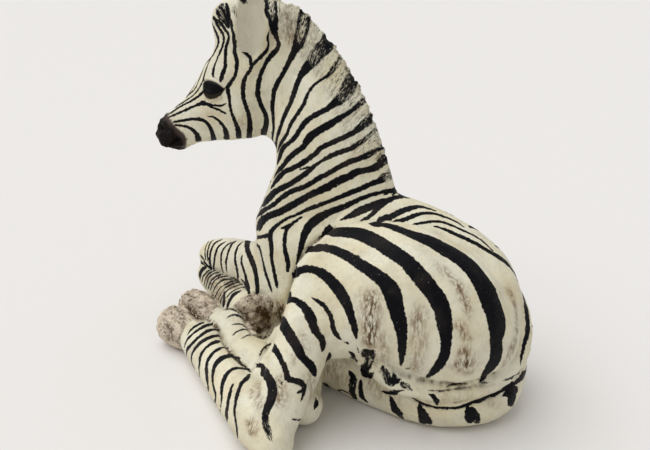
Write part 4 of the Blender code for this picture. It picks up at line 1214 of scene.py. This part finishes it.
hoof_depth = np.full(count, -BEYOND)
for coronet, way, middle, reach, top in HOOVES:
    inside = within(surface_points, (body(*middle), reach)) & (surface_points[:, 2] < top * PART)
    depth = np.minimum((surface_points[inside] - body(*coronet)) @ way * 1000, BEYOND)
    hoof_depth[inside] = np.maximum(hoof_depth[inside], depth)
far_hind = patch(FAR_HIND_HOOF)
hoof_depth = np.maximum(np.clip(np.maximum(hoof_depth, far_hind), -BEYOND, BEYOND), fore_hoof)
# The fore hoof is browner than the rest, apart from a painted highlight of lighter tan at its top,
# where the light falls, and the far hind hoof is a little darker all over.
TAN_HIGHLIGHT = ((238, 302), (244, 299), (250, 298))
tan_highlight = pressed(TAN_HIGHLIGHT, 4.0)
hoof_shade = np.clip((fore_hoof - 0.6) / 1.4, 0, 1) * (1 - 0.75 * tan_highlight)
hoof_shade = np.maximum(hoof_shade, np.clip(far_hind / 3, 0, 0.4))
into_muzzle = MUZZLE_REACH - np.linalg.norm(surface_points - MUZZLE_MIDDLE, axis=1) / PART
muzzle_depth = np.maximum(patch(MUZZLE, both_sides=True), into_muzzle * 2)
store("washes", np.stack((muzzle_depth, hoof_depth, patch(EYE, both_sides=True), hoof_shade), axis=1))

# How hollow the surface is at each point, evened a little: the hollows are darkened with umber,
# partly as the stain that stays in them and partly as painted shade.
CREASE_FROM, CREASE_WEIGHT = 0.01, 9
meets = np.bincount(edges.ravel(), minlength=count).astype(float)
spans = ((surface_points[edges[:, 0]] - surface_points[edges[:, 1]]) ** 2).sum(axis=1)
span = sum(np.bincount(edges[:, end], spans, count) for end in (0, 1)) / meets
crease_stain_and_shade = ((drift(surface_points, edges, meets) * normals).sum(axis=1) / span * 1e-3)[:, None]
for _ in range(5):
    crease_stain_and_shade += drift(crease_stain_and_shade, edges, meets) * 0.6
crease_stain_and_shade = np.clip((crease_stain_and_shade[:, 0] - CREASE_FROM) * CREASE_WEIGHT, 0, 1)
# Umber stains, and painted shade and painted shadow in the hollows, all laid the same way.
stain_and_shade = np.zeros(count)
for table, both_sides in ((STAINS_AND_SHADE, False), (HEAD_STAINS, True)):
    for places, width, strength in table:
        stain_and_shade = np.maximum(stain_and_shade, strength * pressed(places, width, both_sides))
store("wear_and_shade", np.stack((crease_stain_and_shade, stain_and_shade, hair_along, in_mane), axis=1))
ear, lid, none = patch(EAR_HOLLOW, both_sides=True), patch(LOWER_LID, both_sides=True), np.zeros(count)
store("tints", np.stack((ear, lid, none, none), axis=1))

# The finish. A matt cream slip is brushed over the white clay and black underglaze over that,
# and it is fired without a glaze. The eye sees a chalky, slightly uneven cream, and a black with
# hardly a sheen that is thin and brown in places.
CREAM, WARM_CREAM = "#E4E1CD", "#DCD1B0"
# The black is a little lighter and bluer than the paint alone: a painted sheen.
PAINT_WITH_SHEEN, THIN_PAINT = "#0A0A0F", "#3A332C"
UMBER, DARK_UMBER = "#7D6243", "#4A3B28"
EAR_WASH_AND_SHADE, LID_BROWN, EYE_BLACK = "#CDC7B4", "#2A231A", "#050508"
HOOF, HOOF_DARK = "#EEDFC9", "#4A3520"
MUZZLE_BROWN, MUZZLE_BLACK = "#54463F", "#16110F"
SHEEN = 0.08


def linear(code):
    """A colour as the shader wants it, from its sRGB hex code."""
    parts = [int(code[i : i + 2], 16) / 255 for i in (1, 3, 5)]
    return (*(v / 12.92 if v <= 0.04045 else ((v + 0.055) / 1.055) ** 2.4 for v in parts), 1.0)


def add(kind, settings, *inputs, **named):
    """A shader node with its settings, and what its inputs take: values, nodes or outputs."""
    node = tree.nodes.new("ShaderNode" + kind)
    for name, value in settings.items():
        setattr(node, name, value)
    sockets = [socket for socket in node.inputs if socket.enabled]
    taken = list(zip(sockets, inputs))
    taken += [(node.inputs[name], value) for name, value in named.items()]
    for socket, value in taken:
        if isinstance(value, bpy.types.Node):
            value = next(output for output in value.outputs if output.enabled)
        if isinstance(value, bpy.types.NodeSocket):
            tree.links.new(value, socket)
        else:
            socket.default_value = value
    return node


PLUS, MINUS, TIMES = {"operation": "ADD"}, {"operation": "SUBTRACT"}, {"operation": "MULTIPLY"}
MOST, SIZE = {"operation": "MAXIMUM"}, {"operation": "ABSOLUTE"}
FIT, FIT_CLAMPED = {"operation": "MULTIPLY_ADD"}, {"operation": "MULTIPLY_ADD", "use_clamp": True}
BLEND = {"data_type": "RGBA"}

finish = bpy.data.materials.new("painted slip on fired clay")
finish.use_nodes = True
tree = finish.node_tree
shader = tree.nodes["Principled BSDF"]
place = add("TexCoord", {}).outputs["Object"]
washed, worn_and_shaded, tinted = (add("Attribute", {"attribute_name": n}) for n in ("washes", "wear_and_shade", "tints"))
muzzle_depth, hoof_depth, eye_depth = add("SeparateColor", {}, washed.outputs["Color"]).outputs
crease_stain_and_shade, stain_and_shade, hair_along = add("SeparateColor", {}, worn_and_shaded.outputs["Color"]).outputs
ear_depth, lid_depth, _ = add("SeparateColor", {}, tinted.outputs["Color"]).outputs
hoof_shade, in_mane = washed.outputs["Alpha"], worn_and_shaded.outputs["Alpha"]

# The mane's hair, scratched across the crest.
HAIRS = 1.1  # in a millimetre
hair_place = add("CombineXYZ", {}, add("Math", TIMES, hair_along, HAIRS))
hair_place = add("VectorMath", {"operation": "MULTIPLY_ADD"}, place, (every(3.3),) * 3, hair_place)
hair = add("TexNoise", {}, Vector=hair_place, Scale=1.0, Detail=4.0, Roughness=0.65, Distortion=0.6)

# The strokes: solid where the brush is full, broken into bristle lines where it runs dry. A
# layer holds a point's distance from the stroke's middle, the stroke's half width, the way along
# it, in millimetres, and how full the brush is.
BRISTLES, BREAKS = 1.9, 0.22  # in a millimetre across and along the stroke
wander = add("TexNoise", {}, Vector=place, Scale=every(2.3), Detail=4.0, Roughness=0.7)
wander = add("Math", FIT, wander, 2.9, -1.45)
painted = None
for number in range(LAYERS):
    brush = add("Attribute", {"attribute_name": f"stroke_{number}"})
    aside, half, along = add("SeparateColor", {}, brush.outputs["Color"]).outputs
    load = brush.outputs["Alpha"]
    across_it, along_it = add("Math", TIMES, aside, BRISTLES), add("Math", TIMES, along, BREAKS)
    bristles = add("CombineXYZ", {}, across_it, along_it)
    bristles = add("TexNoise", {}, Vector=bristles, Scale=1.0, Detail=3.0, Roughness=0.65)
    bristles = add("Mix", {}, in_mane, bristles, hair)
    dryness = add("Math", FIT, load, -9.0, 9.0)
    fray = add("Math", TIMES, add("Math", MINUS, bristles, 0.52), dryness)
    inside = add("Math", MINUS, half, add("Math", SIZE, aside))
    inside = add("Math", PLUS, add("Math", PLUS, inside, wander), fray)
    full = add("Math", MINUS, add("Math", FIT, load, 1.1, -0.05), bristles)
    full = add("Math", FIT_CLAMPED, full, 9.0, 0.5)
    covered = add("Math", TIMES, add("Math", FIT_CLAMPED, inside, 2.6, 1.2), full)
    painted = covered if painted is None else add("Math", MOST, painted, covered)
specks = add("TexNoise", {}, Vector=place, Scale=every(0.9), Detail=2.0)
painted = add("Math", TIMES, painted, add("Math", FIT_CLAMPED, specks, -9.0, 7.5))

# The cream slip: brushed a little unevenly, umber smeared in places, and umber in its creases,
# partly as stain and partly as painted shade.
broad = add("TexNoise", {}, Vector=place, Scale=every(24), Detail=3.0)
cream = add("Mix", BLEND, add("Math", FIT_CLAMPED, broad, 2.4, -0.85), linear(CREAM), linear(WARM_CREAM))
grain_place = add("VectorMath", {"operation": "MULTIPLY"}, place, (1.0, 1.0, 0.28))
grain = add("TexNoise", {}, Vector=grain_place, Scale=every(1.9), Detail=4.0, Roughness=0.7)
rub = add("TexNoise", {}, Vector=place, Scale=every(14), Detail=4.0, Roughness=0.6)
rub = add("Math", FIT_CLAMPED, rub, 2.6, -1.25)
# The stains and the painted shade laid with them, broken up by a rub and the grain, in an umber that is
# darker where they are stronger.
soiled_and_shaded = add("Math", FIT, rub, 0.5, stain_and_shade)
smear_and_shade = add("Math", TIMES, soiled_and_shaded, add("Math", FIT_CLAMPED, grain, 6.0, -2.3))
stain = add("Math", FIT_CLAMPED, soiled_and_shaded, 1.6, -1.1)
stain = add("Mix", BLEND, stain, linear(UMBER), linear(DARK_UMBER))
speckle = add("Math", TIMES, add("Math", FIT_CLAMPED, grain, -6.0, 3.0), 0.16)
# Darker umber in the creases: partly the stain left in them, partly painted shade.
crevice_stain_and_shade = add("Math", TIMES, crease_stain_and_shade, add("Math", FIT_CLAMPED, grain, 2.0, -0.2))
hair_dark = add("Math", TIMES, add("Math", FIT_CLAMPED, hair, -7.0, 3.6), in_mane)
hair_dark = add("Math", TIMES, hair_dark, 0.55)
# The ear's hollow is tinted grey-brown: partly its wash, partly painted shade in the hollow.
ear_wash_and_shade = add("Math", TIMES, add("Math", FIT_CLAMPED, ear_depth, 0.6, 0.1), 0.8)
on_lid = add("Math", FIT_CLAMPED, add("Math", FIT, grain, 1.0, lid_depth), 1.6, 0.0)
for share, over in (
    (speckle, linear(UMBER)), (smear_and_shade, stain), (crevice_stain_and_shade, linear(DARK_UMBER)),
    (hair_dark, linear(DARK_UMBER)), (ear_wash_and_shade, linear(EAR_WASH_AND_SHADE)), (on_lid, linear(LID_BROWN)),
):
    cream = add("Mix", BLEND, share, cream, over)

# The paint over it, brown where it is thin.
thin = add("TexNoise", {}, Vector=place, Scale=every(28), Detail=5.0, Roughness=0.6)
thin = add("Math", TIMES, add("Math", FIT_CLAMPED, thin, 5.0, -2.5), 0.5)
ink = add("Mix", BLEND, add("Math", MINUS, painted, thin), linear(THIN_PAINT), linear(PAINT_WITH_SHEEN))
colour = add("Mix", BLEND, painted, cream, ink)

# The hooves, mottled and cracked, the muzzle, darker toward its middle, and the eyes.
pits = add("TexNoise", {}, Vector=place, Scale=every(3), Detail=5.0, Roughness=0.75)
blotch = add("TexNoise", {}, Vector=place, Scale=every(9), Detail=3.0)
cracks = add("TexNoise", {}, Vector=place, Scale=every(4.8), Detail=4.0, Roughness=0.6, Distortion=0.8)
cracks = add("Math", SIZE, add("Math", MINUS, cracks, 0.5))
cracks = add("Math", TIMES, add("Math", FIT_CLAMPED, cracks, -34.0, 1.0), blotch)
cracks = add("Math", MOST, cracks, add("Math", FIT_CLAMPED, pits, -8.0, 3.7))
shade = add("Math", PLUS, add("Math", TIMES, hoof_shade, 0.75), add("Math", FIT, blotch, 2.4, -1.22))
shade = add("Math", FIT, add("Math", MINUS, pits, 0.5), 4.0, shade)
hoof = add("Mix", BLEND, shade, linear(HOOF), linear(HOOF_DARK))
hoof = add("Mix", BLEND, cracks, hoof, linear(DARK_UMBER))
# The hooves take the stains and the painted shade in their creases too.
hoof = add("Mix", BLEND, add("Math", MOST, smear_and_shade, crevice_stain_and_shade), hoof, linear(DARK_UMBER))
deep = add("Math", FIT_CLAMPED, add("Math", FIT, blotch, 7.0, muzzle_depth), 0.24, -1.0)
muzzle = add("Mix", BLEND, deep, linear(MUZZLE_BROWN), linear(MUZZLE_BLACK))
on_hoof = add("Math", PLUS, hoof_depth, add("Math", FIT, blotch, 3.0, -1.5))
on_hoof = add("Math", FIT_CLAMPED, on_hoof, 0.8, 0.5)
on_muzzle = add("Math", FIT_CLAMPED, add("Math", FIT, grain, 2.4, muzzle_depth), 0.7, -0.4)
on_eye = add("Math", FIT_CLAMPED, eye_depth, 2.4, 0.4)
for share, over in ((on_hoof, hoof), (on_muzzle, muzzle), (on_eye, linear(EYE_BLACK))):
    colour = add("Mix", BLEND, share, colour, over)
tree.links.new(colour.outputs[2], shader.inputs["Base Color"])

gloss = add("Math", FIT, painted, -0.08, 0.6)
gloss = add("Math", FIT, add("Math", MINUS, grain, 0.5), 0.3, gloss)
for share, rougher in ((on_hoof, 0.12), (on_muzzle, -0.1)):
    gloss = add("Math", FIT, share, rougher, gloss)
gloss = add("Math", FIT_CLAMPED, on_eye, -0.15, gloss)
tree.links.new(gloss.outputs[0], shader.inputs["Roughness"])
shader.inputs["Specular IOR Level"].default_value = SHEEN

lumps = add("TexNoise", {}, Vector=place, Scale=every(10.5), Detail=5.0, Roughness=0.62, Distortion=0.5)
height = add("Math", FIT, lumps, 1.8, add("Math", TIMES, grain, 0.15))
for relief_of, where, weight in ((hair, in_mane, 0.9), (pits, on_hoof, 2.2), (pits, on_muzzle, 1.6)):
    height = add("Math", FIT, add("Math", TIMES, relief_of, where), weight, height)
height = add("Math", FIT, painted, 0.06, height)
bump = add("Bump", {}, Strength=0.8, Distance=0.001, Height=height)
tree.links.new(bump.outputs[0], shader.inputs["Normal"])

foal = bpy.data.objects.new("painted_foal", casting)
bpy.context.collection.objects.link(foal)
casting.materials.clear()
casting.materials.append(finish)
casting.shade_smooth()
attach(foal, "root")
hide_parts("zebra_foal")

# The studio. A pale plain floor of matt paper in a pale room, under one broad soft light from
# above, a little from the left and from behind the foal. The paper shows no grain or gloss.
FLOOR, FLOOR_HALF = "#E4E2E0", 4
WORLD_COLOUR, WORLD_STRENGTH = (1.0, 0.99, 0.975, 1), 0.53
LIGHT_STRENGTH, LIGHT_ANGLE = 1.95, math.radians(70)
corners = [(x * FLOOR_HALF, y * FLOOR_HALF, 0) for x, y in ((-1, -1), (1, -1), (1, 1), (-1, 1))]
floor_mesh = bpy.data.meshes.new("floor")
floor_mesh.from_pydata(corners, [], [(0, 1, 2, 3)])
floor = bpy.data.objects.new("floor", floor_mesh)
bpy.context.collection.objects.link(floor)
floor_finish = bpy.data.materials.new("matt paper")
floor_finish.use_nodes = True
paper = floor_finish.node_tree.nodes["Principled BSDF"].inputs
for name, value in (("Base Color", linear(FLOOR)), ("Roughness", 0.9), ("Specular IOR Level", 0.1)):
    paper[name].default_value = value
floor_mesh.materials.append(floor_finish)

world = bpy.data.worlds.new("studio")
world.use_nodes = True
world.node_tree.nodes["Background"].inputs["Color"].default_value = WORLD_COLOUR
world.node_tree.nodes["Background"].inputs["Strength"].default_value = WORLD_STRENGTH
bpy.context.scene.world = world
bpy.context.scene.view_settings.view_transform = "Standard"
lamp = bpy.data.objects.new("soft light", bpy.data.lights.new("soft light", "SUN"))
lamp.data.angle = LIGHT_ANGLE
lamp.data.energy = LIGHT_STRENGTH
light_from = UP - view_right * 0.45 - to_camera * 0.1
lamp.rotation_mode = "QUATERNION"
lamp.rotation_quaternion = Vector(light_from).to_track_quat("Z", "Y")
bpy.context.collection.objects.link(lamp)
